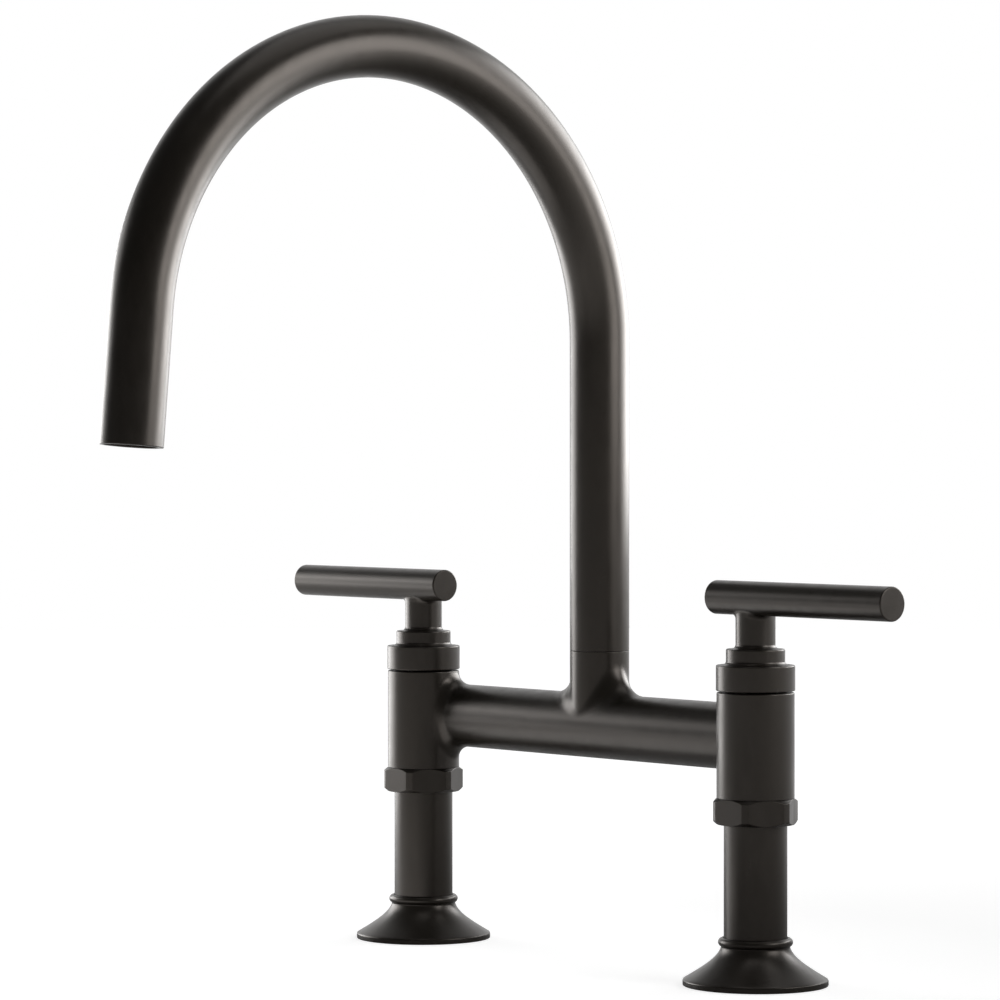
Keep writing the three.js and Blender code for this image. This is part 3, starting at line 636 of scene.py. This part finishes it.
# Balls that roll between column and bridge, with the column's axis at x = 0, the bridge running
# to +X and z counted from the bridge's axis; and where they touch the bridge.
def columnBalls():
    s = castingSizes
    setback, inset = layout["bridgeSetback"], s["domeInset"]
    nearColumn = s["columnRadius"] + s["columnFillet"]
    nearBridge = s["bridgeRadius"] + s["columnFillet"]
    front = math.asin((setback - nearBridge) / nearColumn)
    reach = math.hypot(inset, setback)
    back = math.atan2(setback, inset) + math.acos(
        (nearColumn ** 2 + reach ** 2 - nearBridge ** 2) / (2 * nearColumn * reach))
    ends, across = castingCells["columnFront"], castingCells["columnAcross"]
    sections = np.arange(2 * (ends + across), dtype=float)
    cuts = np.cumsum([0, ends / 2, across, ends, across, ends / 2])
    turn = np.interp(sections, cuts, columnTurns) * degree
    bearing = front + 0.5 * (back - front) * (1 - np.cos(turn))
    x, y = nearColumn * np.cos(bearing), nearColumn * np.sin(bearing)
    along = np.minimum(x - inset, 0)
    rise = np.sqrt(np.maximum(nearBridge ** 2 - (y - setback) ** 2 - along ** 2, 0))
    balls = pointsAt(x, y, np.sign(np.sin(turn)) * rise)
    axisPoints = pointsAt(np.maximum(x, inset), setback, 0)
    onBridge = axisPoints + (balls - axisPoints) * s["bridgeRadius"] / nearBridge
    return sections, cuts, (front, back), balls, onBridge


# The fillet's arcs end where they would run over the column's rims.
def columnFillet(balls, onBridge, floorLine, ceiling):
    s = castingSizes
    radius = s["columnRadius"]
    onColumn = balls * np.array([radius / (radius + s["columnFillet"])] * 2 + [1])
    opening = ballOpening(balls, onBridge, onColumn)
    limit = np.clip(balls[:, 2], floorLine + s["filletClearance"], ceiling - s["filletClearance"])
    fall = onBridge[:, 2] - balls[:, 2]
    fall = np.where(np.abs(fall) > 1e-6, fall, 1)
    spare = np.arcsin(np.clip((limit - balls[:, 2]) / fall * np.sin(opening), -1, 1))
    arcs = ballRows(balls, onBridge, onColumn, castingCells["columnFillet"], 1 - spare / opening)
    arcs[-1, :, :2] *= (radius / np.linalg.norm(arcs[-1, :, :2], axis=1))[:, None]
    return arcs


# Rows along the bridge from the column's fillet, over the dome, then straight to the hub's patch.
def tubeRows(sections, cuts, onBridge):
    s = castingSizes
    setback, inset, radius = layout["bridgeSetback"], s["domeInset"], s["bridgeRadius"]
    under = 360 - (s["patchEnd"] - s["patchStart"])
    beyond = s["patchEnd"] + under * (len(sections) - cuts[2]) / castingCells["hubUnder"]
    bearingHere = np.unwrap(np.arctan2(onBridge[:, 2], setback - onBridge[:, 1]))
    bearingThere = np.interp(sections, [0, cuts[1], cuts[2], len(sections)],
                             [beyond - 360, s["patchStart"], s["patchEnd"], beyond]) * degree
    overDome = -radius * np.arcsin(np.clip((inset - onBridge[:, 0]) / radius, 0, 1))
    travelHere = np.where(onBridge[:, 0] >= inset, onBridge[:, 0] - inset, overDome)
    travelThere = layout["columnOffset"] - s["patchHalf"] - inset
    rows = []
    for share in np.linspace(0, 1, castingCells["tube"] + 1):
        travel = travelHere + (travelThere - travelHere) * share
        bearing = bearingHere + (bearingThere - bearingHere) * share * share * (3 - 2 * share)
        polar = np.minimum(travel, 0) / radius
        x = inset + np.maximum(travel, 0) + radius * np.sin(polar)
        ring = radius * np.cos(polar)
        rows.append(pointsAt(x, setback - ring * np.cos(bearing), ring * np.sin(bearing)))
    return np.array(rows)


# The column's rims and everything inside it.
def columnBore(rimAngles):
    s = castingSizes
    radius, edge, foot = s["columnRadius"], s["columnEdge"], s["footEdge"]
    return turned([
        (radius, s["columnTop"] - edge),
        *arcPoints(radius - edge, s["columnTop"] - edge, edge, 15, 90, 5),
        (s["cartridgeBore"], s["columnTop"], 0.4), (s["cartridgeBore"], s["cartridgeSeat"]),
        (s["portRadius"], s["cartridgeSeat"], fineEdge), (s["portRadius"], s["inletTop"]),
        (s["inletBore"], s["inletTop"]), (s["inletBore"], s["spigotBase"], softEdge),
        (s["spigotRadius"], s["spigotBase"], 0.4), (s["spigotRadius"], s["columnBase"]),
        *arcPoints(radius - foot, s["columnBase"] + foot, foot, 270, 345, 3),
        (radius, s["columnBase"] + foot),
    ], angles=rimAngles, closed=False)


# One end of the casting, with the column's axis at x = 0 and the bridge running to +X.
def columnSheets():
    s = castingSizes
    cells = castingCells
    ceiling = s["columnTop"] - s["columnEdge"] - layout["bridgeHeight"]
    floorLine = s["columnBase"] + s["footEdge"] - layout["bridgeHeight"]
    sections, cuts, (front, back), balls, onBridge = columnBalls()
    arcs = columnFillet(balls, onBridge, floorLine, ceiling)
    contact = np.stack([np.arctan2(arcs[-1, :, 1], arcs[-1, :, 0]), arcs[-1, :, 2]], axis=1)
    low, high = front - besideFillet, back + besideFillet
    corners = ((low, floorLine), (low, ceiling), (high, ceiling), (high, floorLine))
    outline = perimeter(np.mod(sections + cuts[1], len(sections)), corners,
                        (cells["columnFront"], cells["columnAcross"]))
    patch = blended(contact, outline, cells["columnWall"])
    rest = np.linspace(high, low + fullTurn, cells["columnRest"] + 1)
    heights = np.linspace(floorLine, ceiling, cells["columnHeight"] + 1)
    backWall = columnPoint(rest, heights[:, None])
    across = np.linspace(low, high, cells["columnAcross"] + 1)
    lift = np.array([0, 0, layout["bridgeHeight"]])
    tube = tubeRows(sections, cuts, onBridge)
    wall = columnPoint(patch[..., 0], patch[..., 1])
    sheets = [(arcs + lift, True), (wall + lift, True), (backWall + lift, False), (tube + lift, True)]
    return sheets + [columnBore(np.concatenate([across[:-1], rest[:-1]]))]


# The hub with its fillet, and the stretch of bridge that carries it.
def hubSheets():
    s = castingSizes
    cells = castingCells
    half, start, end = s["patchHalf"], s["patchStart"] * degree, s["patchEnd"] * degree
    across, along = cells["hubAcross"], cells["hubAlong"]
    sections = np.arange(2 * (across + along), dtype=float)
    beta = np.interp(sections, np.cumsum([0, across, along, across, along]), hubTurns) * degree
    nearHub = s["hubRadius"] + s["hubFillet"]
    nearBridge = s["bridgeRadius"] + s["hubFillet"]
    ballX, ballY = nearHub * np.cos(beta), nearHub * np.sin(beta)
    balls = pointsAt(ballX, ballY, np.sqrt(nearBridge ** 2 - ballY ** 2))
    onBridge = balls * np.array([1, s["bridgeRadius"] / nearBridge, s["bridgeRadius"] / nearBridge])
    onHub = balls * np.array([s["hubRadius"] / nearHub, s["hubRadius"] / nearHub, 1])
    arcs = ballRows(balls, onBridge, onHub, cells["hubFillet"])
    contact = np.stack([onBridge[:, 0], np.arctan2(onBridge[:, 2], -onBridge[:, 1])], axis=1)
    corners = ((half, start), (half, end), (-half, end), (-half, start))
    outline = perimeter(sections, corners, (across, along))
    patch = blended(contact, outline, cells["hubPatch"])
    saddle = bridgePoint(patch[..., 0], patch[..., 1])
    under = bridgePoint(*np.meshgrid(np.linspace(-half, half, along + 1),
                                     np.linspace(end, start + fullTurn, cells["hubUnder"] + 1)))
    edge = s["hubEdge"]
    rim = onHub.copy()
    rim[:, 2] = s["hubTop"] - edge - layout["bridgeHeight"]
    wall = blended(onHub, rim, cells["hubWall"])
    bore = turned([
        (s["hubRadius"], s["hubTop"] - edge),
        *arcPoints(s["hubRadius"] - edge, s["hubTop"] - edge, edge, 18, 90, 4),
        (s["washerSeat"], s["hubTop"], 0.15), (s["washerSeat"], s["washerSeatBase"]),
        (s["pivotBore"], s["washerSeatBase"]), (s["pivotBore"], s["pivotFloor"]), (0, s["pivotFloor"]),
    ], angles=beta, closed=False, centre=(0, layout["bridgeSetback"]))
    place = np.array([0, layout["bridgeSetback"], layout["bridgeHeight"]])
    return [(arcs + place, True), (saddle, True), (under, False), (wall + place, True), bore]


def rodSheet(radius, near, far):
    return turned([(0, near), (radius, near), (radius, far), (0, far)], 48)


# A rod along +Y that cuts a hole for a grub screw.
def holeSheet(radius, near, far, place):
    return moved(laidAlong(rodSheet(radius, near, far), "y"), place)


def bridgeCasting():
    s = castingSizes
    offset = layout["columnOffset"]
    sheets = hubSheets()
    for sheet in columnSheets():
        sheets.append(moved(sheet, (-offset, 0, 0)))
        sheets.append(moved(sheet, (offset, 0, 0), mirror=True))
    mesh = meshOf("bridgeCasting", sheets)
    weld(mesh)
    casting = placed("bridgeCasting", mesh)
    hole = holeSheet(s["screwHole"], s["pivotBore"] - 1, s["hubRadius"] + 2,
                     (0, layout["bridgeSetback"], s["screwHeight"]))
    drill(casting, meshOf("hole", [hole]))
    finishPiece(casting, satinBlackLook, "base", ["bridge_casting"])


bridgeCasting()
print("bridge casting: done")


# Spout: riser, arc and outlet, one tube swept along its centre line.
spoutSizes = {
    "radius": 12.0, "bore": 10.5, "base": 124.4, "jointDrop": 0.2,
    "riser": 123.9, "arcRadius": 112.7, "arcAngle": 175.1, "drop": 51.4,
    "baseSoftness": 0.16, "outletSoftness": 0.35,
    "count": 120, "riserCells": 12, "arcCells": 96, "dropCells": 6,
}


# The point on the centre line after some travel from the base, and how far it leans there.
def alongSpout(travel):
    s = spoutSizes
    whole = s["arcAngle"] * degree
    inArc = min(max(travel - s["riser"], 0) / s["arcRadius"], whole)
    before = min(travel, s["riser"])
    after = max(travel - s["riser"] - s["arcRadius"] * whole, 0)
    y = layout["bridgeSetback"] - s["arcRadius"] * (1 - math.cos(inArc)) - after * math.sin(inArc)
    z = s["base"] + before + s["arcRadius"] * math.sin(inArc) + after * math.cos(inArc)
    return np.array([0, y, z]), inArc


def spoutSheet():
    s = spoutSizes
    whole = s["arcAngle"] * degree
    arcLength = s["arcRadius"] * whole
    length = s["riser"] + arcLength + s["drop"]
    stations = [
        *np.linspace(0, s["riser"], s["riserCells"] + 1)[1:],
        *(s["riser"] + np.linspace(0, arcLength, s["arcCells"] + 1)[1:]),
        *(length - np.linspace(s["drop"], 0, s["dropCells"] + 1)[1:-1]),
    ]
    corners = [
        (s["radius"], -s["jointDrop"], s["baseSoftness"]), *[(s["radius"], t) for t in stations],
        (s["radius"], length, s["outletSoftness"]), (s["bore"], length, s["outletSoftness"]),
        *[(s["bore"], t) for t in stations[::-1]], (s["bore"], -s["jointDrop"], s["baseSoftness"]),
    ]
    rows = []
    angles = np.arange(s["count"]) * fullTurn / s["count"]
    sideways = np.cos(angles)[:, None] * np.array([1, 0, 0])
    for reach, travel in profileRows(corners, s["count"], True):
        centre, tilt = alongSpout(float(travel[0]))
        across = np.sin(angles)[:, None] * np.array([0, math.cos(tilt), math.sin(tilt)])
        rows.append(centre + reach[:, None] * (sideways + across))
    return np.array(rows), True


makePiece("gooseneckSpout", [spoutSheet()], satinBlackLook, "spout", ["spout_tube"])
print("spout: done")


# Aerator in the outlet; its sizes along z are counted from the outlet inwards.
aeratorSizes = {
    "recess": 1.5, "length": 12.0, "radius": 10.2, "bore": 8.2, "lip": 0.8, "lipRaise": 0.2, "faceInset": 0.1,
    "count": 144, "notchEvery": 18, "notchWidth": 5, "notchDepth": 0.45,  # grips for the aerator key
    "screenRadius": 7.9, "screenBase": 2.6, "screenThickness": 2.0, "rimRise": 0.15, "rimOverlap": 0.1,
    "cell": 1.42, "cellWall": 0.3, "cellRings": 4,
}


def atOutlet(sheet):
    s = spoutSizes
    end, tilt = alongSpout(s["riser"] + s["arcRadius"] * s["arcAngle"] * degree + s["drop"])
    lean = tilt - math.pi
    x, y, z = np.moveaxis(sheet[0], -1, 0)
    turnedY = y * math.cos(lean) - z * math.sin(lean)
    turnedZ = y * math.sin(lean) + z * math.cos(lean)
    return pointsAt(x, turnedY, turnedZ) + end, sheet[1]


def housingSheet():
    s = aeratorSizes
    steps = np.arange(s["count"])
    low = s["recess"]
    face = low + np.where(np.mod(steps, s["notchEvery"]) < s["notchWidth"], s["notchDepth"], 0.0)
    return turned([
        (s["bore"] - s["lip"], low + s["lipRaise"], 0.15), (s["bore"] - s["faceInset"], face, 0.1),
        (s["radius"], face, softEdge), (s["radius"], low + s["length"], softEdge),
        (s["bore"], low + s["length"], fineEdge), (s["bore"], low + s["lip"], 0.1),
        (s["bore"] - s["lip"], low + s["lip"], 0.1),
    ], angles=steps * fullTurn / s["count"])


# Honeycomb with a rim: each cell is a frame between its outline and its opening.
def screenMesh():
    s = aeratorSizes
    low, high = s["screenBase"], s["screenBase"] + s["screenThickness"]
    corners = np.radians(np.arange(6) * 60 + 30)
    outer = s["cell"] / math.sqrt(3)
    inner = (s["cell"] - s["cellWall"]) / math.sqrt(3)
    reach = np.array([outer, inner, inner, outer])[:, None]
    height = np.array([low, low, high, high])[:, None]
    sheets = []
    rings = s["cellRings"]
    for q in range(-rings, rings + 1):
        for r in range(max(-rings, -q - rings), min(rings, -q + rings) + 1):
            x = s["cell"] * (q + 0.5 * r)
            y = s["cell"] * 0.5 * math.sqrt(3) * r
            loops = pointsAt(x + reach * np.cos(corners), y + reach * np.sin(corners), height)
            sheets.append((loops, True))
    comb = meshOf("screenComb", [atOutlet(sheet) for sheet in sheets])
    form = bmesh.new()
    form.from_mesh(comb)
    bmesh.ops.remove_doubles(form, verts=form.verts, dist=0.01 * millimetre)
    bmesh.ops.bridge_loops(form, edges=[e for e in form.edges if e.is_boundary])
    form.to_mesh(comb)
    form.free()
    combReach = s["cell"] * (rings + s["rimOverlap"])
    rim = washerSheet(combReach, s["screenRadius"], low - s["rimRise"], high + s["rimRise"],
                      (0.1, fineEdge, fineEdge, 0.1))
    whole = meshOf("aeratorScreen", [atOutlet(rim)])
    weld(whole, comb)
    bpy.data.meshes.remove(comb)
    return whole


makePiece("aeratorHousing", [atOutlet(housingSheet())], satinBlackLook, "spout",
          ["aerator_housing"])
finishPiece(placed("aeratorScreen", screenMesh()), plasticLook, "spout", ["aerator_screen"])
print("aerator: done")


# Grub screws along +Y, with a hexagonal key socket in the outer end.
screwSizes = {
    "spout": {"radius": 2.2, "inner": 7.9, "outer": 11.7, "height": 111.5, "key": 2.2},
    "handle": {"radius": 2.0, "inner": 5.3, "outer": 10.7, "height": 126.05, "key": 2.0},
}
screwForm = {
    "count": 48, "point": 0.8, "drillTip": 0.3, "socketTaper": 0.96, "mouthWidth": 0.12, "mouthDepth": 0.15,
    "mouthEdge": 0.05,
}


def grubScrewSheet(s):
    f = screwForm
    angles = np.arange(f["count"]) * fullTurn / f["count"]
    key = hexReach(angles, s["key"])
    outer, floorAt = s["outer"], s["outer"] - s["key"]
    screw = turned([
        (0, floorAt - f["drillTip"]), (key * f["socketTaper"], floorAt, f["mouthEdge"]),
        (key, outer - f["mouthDepth"]), (key + f["mouthWidth"], outer, f["mouthEdge"]),
        (s["radius"], outer, softEdge), (s["radius"], s["inner"] + f["point"]),
        (s["radius"] - f["point"], s["inner"], fineEdge), (0, s["inner"]),
    ], angles=angles)
    return moved(laidAlong(screw, "y"), (0, 0, s["height"]))


makePiece("spoutGrubScrew", [moved(grubScrewSheet(screwSizes["spout"]), (0, layout["bridgeSetback"], 0))],
          steelLook, "base", ["spout_screw"])


# Handles: a skirt and a lever on each column. The lever's collar, post and bar are one piece.
skirtSizes = {
    "radius": 15.25, "base": 112.9, "top": 122.8, "softness": 0.65, "footSoftness": 0.4,
    "wallBore": 13.05, "roofBase": 118.9, "collarBore": 9.3, "count": 112,
}
leverSizes = {
    "collarRadius": 11.4, "collarTop": 129.0, "collarSoftness": 0.65,
    "spigotRadius": 9.0, "spigotBase": 118.6, "socketRadius": 5.3, "socketTop": 128.0,
    "postRadius": 7.7, "postTop": 142.8, "postSoftness": 1.2,
    "postCove": (1.7, 1.7), "collarCove": (1.6, 1.4), "coveBase": 122.86,  # reach and height
    "barRadius": 6.55, "barHeight": 148.4, "barForward": 3.3, "barReach": 77.2, "barTail": 18.5,
    "barEdge": 0.6, "blend": 1.7, "screwHole": 2.3,
    "voxel": 0.34, "jointHalf": 10.4, "jointFoot": 135.6,  # the joint's cuts, along bar and post
    "blankExtra": 2.0, "cutTolerance": 0.01,
}


def skirtSheet():
    s = skirtSizes
    return turned([
        (s["wallBore"], s["base"], softEdge), (s["radius"], s["base"], s["footSoftness"]),
        (s["radius"], s["top"], s["softness"]), (s["collarBore"], s["top"], softEdge),
        (s["collarBore"], s["roofBase"]), (s["wallBore"], s["roofBase"]),
    ], s["count"], steps=4)


# How far points lie outside the post and the bar, with a rounded corner where the two meet.
def outsideLever(points):
    s = leverSizes
    x, y, z = points.T
    soft = s["postSoftness"]
    outward = np.hypot(x, y) - (s["postRadius"] - soft)
    upward = z - (s["postTop"] - soft)
    beyond = np.hypot(np.maximum(outward, 0), np.maximum(upward, 0))
    post = beyond + np.minimum(np.maximum(outward, upward), 0) - soft
    bar = np.hypot(y + s["barForward"], z - s["barHeight"]) - s["barRadius"]
    blend = s["blend"]
    corner = np.hypot(np.maximum(blend - post, 0), np.maximum(blend - bar, 0))
    return np.maximum(blend, np.minimum(post, bar)) - corner


# Moves points step by step onto the lever's exact surface.
def settled(points, steps=7, reach=1e-3, leastSteep=0.2):
    for _ in range(steps):
        slopes = []
        for offset in np.eye(3) * reach:
            slopes.append((outsideLever(points + offset) - outsideLever(points - offset)) / (2 * reach))
        slope = np.stack(slopes, axis=1)
        steep = np.maximum(np.sum(slope ** 2, axis=1), leastSteep)
        points = points - slope * (outsideLever(points) / steep)[:, None]
    return points


# The joint of post and bar is remeshed finely, settled on the exact shape and cut square where
# the plain turned ends carry on.
def leverJoint():
    s = leverSizes
    foot = s["jointFoot"] - s["blankExtra"]
    post = rodSheet(s["postRadius"], foot, s["postTop"])
    half = s["jointHalf"] + s["blankExtra"]
    bar = moved(laidAlong(rodSheet(s["barRadius"], -half, half), "x"), (0, -s["barForward"], s["barHeight"]))
    blank = meshOf("leverBlank", [post, bar])
    weld(blank)
    changePoints(blank, lambda points: points / millimetre)
    fine = blank
    for _ in range(2):
        thing = placed("leverBlank", fine)
        remesh = thing.modifiers.new("fine", "REMESH")
        remesh.mode = "VOXEL"
        remesh.voxel_size = s["voxel"]
        fine = evaluatedMesh(thing)
        bpy.data.objects.remove(thing)
        changePoints(fine, settled)
    form = bmesh.new()
    form.from_mesh(fine)
    barCut, postCut = s["jointHalf"], s["jointFoot"]
    cuts = (((barCut, 0, 0), (1, 0, 0)), ((-barCut, 0, 0), (-1, 0, 0)), ((0, 0, postCut), (0, 0, -1)))
    for place, normal in cuts:
        everything = list(form.verts) + list(form.edges) + list(form.faces)
        bmesh.ops.bisect_plane(form, geom=everything, plane_co=place, plane_no=normal, clear_outer=True)
    bmesh.ops.remove_doubles(form, verts=form.verts, dist=s["cutTolerance"])
    edgeAngles = {"low": [], "near": [], "far": []}
    for vert in form.verts:
        if not vert.is_boundary:
            continue
        if abs(vert.co.z - postCut) < s["cutTolerance"]:
            angle = math.atan2(vert.co.y, vert.co.x)
            vert.co = (s["postRadius"] * math.cos(angle), s["postRadius"] * math.sin(angle), postCut)
            edgeAngles["low"].append(angle)
        else:
            angle = math.atan2(vert.co.y + s["barForward"], s["barHeight"] - vert.co.z)
            end = "far" if vert.co.x > 0 else "near"
            across, down = s["barRadius"] * math.sin(angle), s["barRadius"] * math.cos(angle)
            vert.co = (math.copysign(barCut, vert.co.x), across - s["barForward"], s["barHeight"] - down)
            edgeAngles[end].append(angle)
    form.to_mesh(fine)
    form.free()
    changePoints(fine, lambda points: points * millimetre)
    return fine, {key: np.array(sorted(value)) for key, value in edgeAngles.items()}


# A hollow curve from an upright wall out to the ledge below it.
def cove(radius, ledge, reach, rise, steps=9):
    turns = np.radians(np.linspace(180, 270, steps + 1))
    return [(radius + reach * (1 + math.cos(a)), ledge + rise * (1 + math.sin(a))) for a in turns]


def lever(side, joint, edgeAngles):
    s = leverSizes
    stem = turned([
        (s["postRadius"], s["jointFoot"]),
        *cove(s["postRadius"], s["collarTop"], *s["postCove"]),
        (s["collarRadius"], s["collarTop"], s["collarSoftness"]),
        *cove(s["collarRadius"], s["coveBase"], *s["collarCove"]),
        (s["spigotRadius"], s["coveBase"]), (s["spigotRadius"], s["spigotBase"], softEdge),
        (s["socketRadius"], s["spigotBase"], softEdge), (s["socketRadius"], s["socketTop"]),
        (0, s["socketTop"]),
    ], angles=edgeAngles["low"], closed=False)
    sheets = [stem]
    for end, cut, tip in (("far", s["jointHalf"], s["barReach"]), ("near", -s["jointHalf"], -s["barTail"])):
        bar = turned([(s["barRadius"], cut), (s["barRadius"], tip, s["barEdge"]), (0, tip)],
                     angles=edgeAngles[end], closed=False, steps=5)
        sheets.append(moved(laidAlong(bar, "x"), (0, -s["barForward"], s["barHeight"])))
    name = side + "HandleLever"
    mesh = meshOf(name, sheets)
    weld(mesh, joint)
    offset = spots[side][0]
    changePoints(mesh, lambda points: points * (sides[side], 1, 1) + (offset * millimetre, 0, 0))
    weld(mesh)
    thing = placed(name, mesh)
    place = (offset, 0, screwSizes["handle"]["height"])
    drill(thing, meshOf("hole", [holeSheet(s["screwHole"], 2, s["collarRadius"] + 2, place)]))
    finishPiece(thing, satinBlackLook, side + "_handle", [side + "_handle_lever"])


leverMesh, leverEdges = leverJoint()
for side, spot in spots.items():
    makePiece(side + "HandleSkirt", [moved(skirtSheet(), spot)], satinBlackLook, side + "_handle",
              [side + "_handle_skirt"])
    lever(side, leverMesh, leverEdges)
    makePiece(side + "HandleGrubScrew", [moved(grubScrewSheet(screwSizes["handle"]), spot)], steelLook,
              side + "_handle", [side + "_handle_screw"])
bpy.data.meshes.remove(leverMesh)
print("handles: done")


# Finishes for the solids inside the faucet, which stay as they are.
innerLooks = {
    "spout_pivot": brassLook, "pivot_ring_lower": rubberLook, "pivot_ring_upper": rubberLook,
    "swivel_washer": plasticLook, "aerator_washer": rubberLook,
}
sideLooks = {
    "union_washer": rubberLook, "seat_seal": rubberLook, "fixed_disc": ceramicLook,
    "moving_disc": ceramicLook, "cartridge_sleeve": brassLook, "stem": brassLook,
    # the bonnet nut's near-black finish is painted shade in the gap under the skirt
    "stem_seal_ring": rubberLook, "bonnet_nut": gapShadeBrassLook,
}
for side in sides:
    for name, look in sideLooks.items():
        innerLooks[side + "_" + name] = look
for name, look in innerLooks.items():
    nodes[name].data.materials.clear()
    nodes[name].data.materials.append(look)
print("inner solids: %d given finishes" % len(innerLooks))


# Camera: stands where the photograph was taken from, in metres.
cameraSetup = {
    "place": (1.2858, -1.1157, 0.2090), "turn": 50.16,  # degrees, to the left of +Y
    "lens": 152.4, "sensor": 36.0, "shiftUp": -0.0599, "farthest": 100,
}


def addCamera():
    s = cameraSetup
    eye = bpy.data.cameras.new("studioCamera")
    eye.lens = s["lens"]
    eye.sensor_width = s["sensor"]
    eye.shift_y = s["shiftUp"]
    eye.clip_end = s["farthest"]
    thing = placed("studioCamera", eye)
    thing.location = s["place"]
    thing.rotation_euler = (90 * degree, 0, s["turn"] * degree)
    bpy.context.scene.camera = thing


# Studio: floor, backdrop and lamps, with places and sizes in metres and powers in watts.
studioSetup = {
    "floorRadii": (1e-7, 0.3, 3.0), "floorCount": 64, "floorGap": 0.00015,
    "floorColour": 0.55, "floorPatches": 1.02,  # the grey, and how much lighter its soft patches are
    "floorGlow": (0.75, 1.0),  # near and far: white to the camera far off; the weaker glow near the faucet lets its shadow show and darkens the floor there, painted shade
    "glowFrom": 0.2, "glowTo": 0.7,  # where near turns to far; only the far floor glows in reflections, so the dark near floor seen there is painted shade under the faucet
    "ambient": 0.1,
    "backdrop": 1.0, "backdropBearing": 140.0, "backdropRise": 0.15,  # the bright wall in reflections
    "backdropFade": (0.55, 0.95),  # how squarely a ray must meet the wall to see it begin, and whole
}
lamps = {  # place, aim, size, spread in degrees, power
    "rearRight": ((0.06, 0.42, 0.43), (0, -0.05, 0.42), (0.78, 0.51), 78, 2.75),
    "right": ((0.55, 0.2, 0.47), (0, -0.05, 0.38), (0.35, 0.5), 90, 0.85),
    "left": ((-0.75, -0.17, 0.19), (0, -0.1, 0.17), (0.56, 0.4), 140, 2.1),
    "upperLeft": ((-0.7, -0.45, 0.42), (0, -0.2, 0.35), (0.5, 0.3), 120, 0.32),
    "overhead": ((0.1, 0.12, 1.2), (0, 0, 0.1), (0.8, 0.8), 180, 1.7),
    "frontCard": ((-0.13, -0.15, 0.004), (-0.13, -0.15, 1), (0.28, 0.22), 180, 0.25),
}


def addFloor():
    s = studioSetup
    angles = np.arange(s["floorCount"]) * fullTurn / s["floorCount"]
    reach = np.array(s["floorRadii"])[:, None]
    rings = pointsAt(reach * np.cos(angles), reach * np.sin(angles), -s["floorGap"]) / millimetre
    mesh = meshOf("studioFloor", [(rings, True)])
    weld(mesh)
    floor = placed("studioFloor", mesh)
    made = Nodes(bpy.data.materials.new("paleFloor"))
    patches = made.spread(made.noise(8.0, 2.0), 0.0, 1.0)
    made.colour(made.mix(patches, (s["floorColour"],) * 3, (s["floorColour"] * s["floorPatches"],) * 3))
    made.set("Roughness", 1.0)
    made.set("Specular IOR Level", 0)
    made.set("Emission Color", (1, 1, 1, 1))
    path = made.add("ShaderNodeLightPath")
    away = made.add("ShaderNodeVectorMath", operation="LENGTH")
    made.wire(made.place, away.inputs[0])
    # Glow falls off towards the faucet, and to nothing in reflections: painted shade round its foot.
    far = made.fit(away.outputs["Value"], s["glowFrom"], s["glowTo"], 0.0, 1.0)
    mirrored = made.combine(path.outputs["Is Glossy Ray"], far, "MULTIPLY")
    seen = made.combine(path.outputs["Is Camera Ray"], mirrored)
    seen = made.combine(seen, path.outputs["Is Transmission Ray"])
    glow = made.combine(seen, made.fit(far, 0.0, 1.0, *s["floorGlow"]), "MULTIPLY")
    made.wire(glow, made.shader.inputs["Emission Strength"])
    mesh.materials.append(made.look)


# White where the camera looks, a bright wall behind the faucet in its reflections, dim all round.
def addWorld():
    s = studioSetup
    made = Nodes(bpy.data.worlds.new("studioBackdrop"), "Background", "Generated")
    made.set("Color", (1, 1, 1, 1))
    bearing = s["backdropBearing"] * degree
    towards = made.add("ShaderNodeVectorMath", operation="DOT_PRODUCT")
    made.wire(made.place, towards.inputs[0])
    towards.inputs[1].default_value = (math.cos(bearing), math.sin(bearing), s["backdropRise"])
    wall = made.fit(towards.outputs["Value"], *s["backdropFade"], s["ambient"], s["backdrop"], "SMOOTHSTEP")
    path = made.add("ShaderNodeLightPath")
    mirrored = made.fit(path.outputs["Is Glossy Ray"], 0.0, 1.0, s["ambient"], wall)
    seen = made.combine(path.outputs["Is Camera Ray"], path.outputs["Is Transmission Ray"], "MAXIMUM")
    made.wire(made.fit(seen, 0.0, 1.0, mirrored, 1.0), made.shader.inputs["Strength"])
    bpy.context.scene.world = made.look


def addLamps():
    for name, (place, aim, size, spread, power) in lamps.items():
        lamp = bpy.data.lights.new(name, "AREA")
        lamp.shape = "RECTANGLE"
        lamp.size, lamp.size_y = size
        lamp.energy = power
        lamp.spread = spread * degree
        thing = placed(name, lamp)
        thing.location = place
        thing.rotation_euler = (Vector(aim) - Vector(place)).to_track_quat("-Z", "Y").to_euler()
        thing.visible_camera = False


addCamera()
addFloor()
addWorld()
addLamps()
bpy.context.scene.view_settings.view_transform = "Standard"
print("camera, floor and lamps: done")
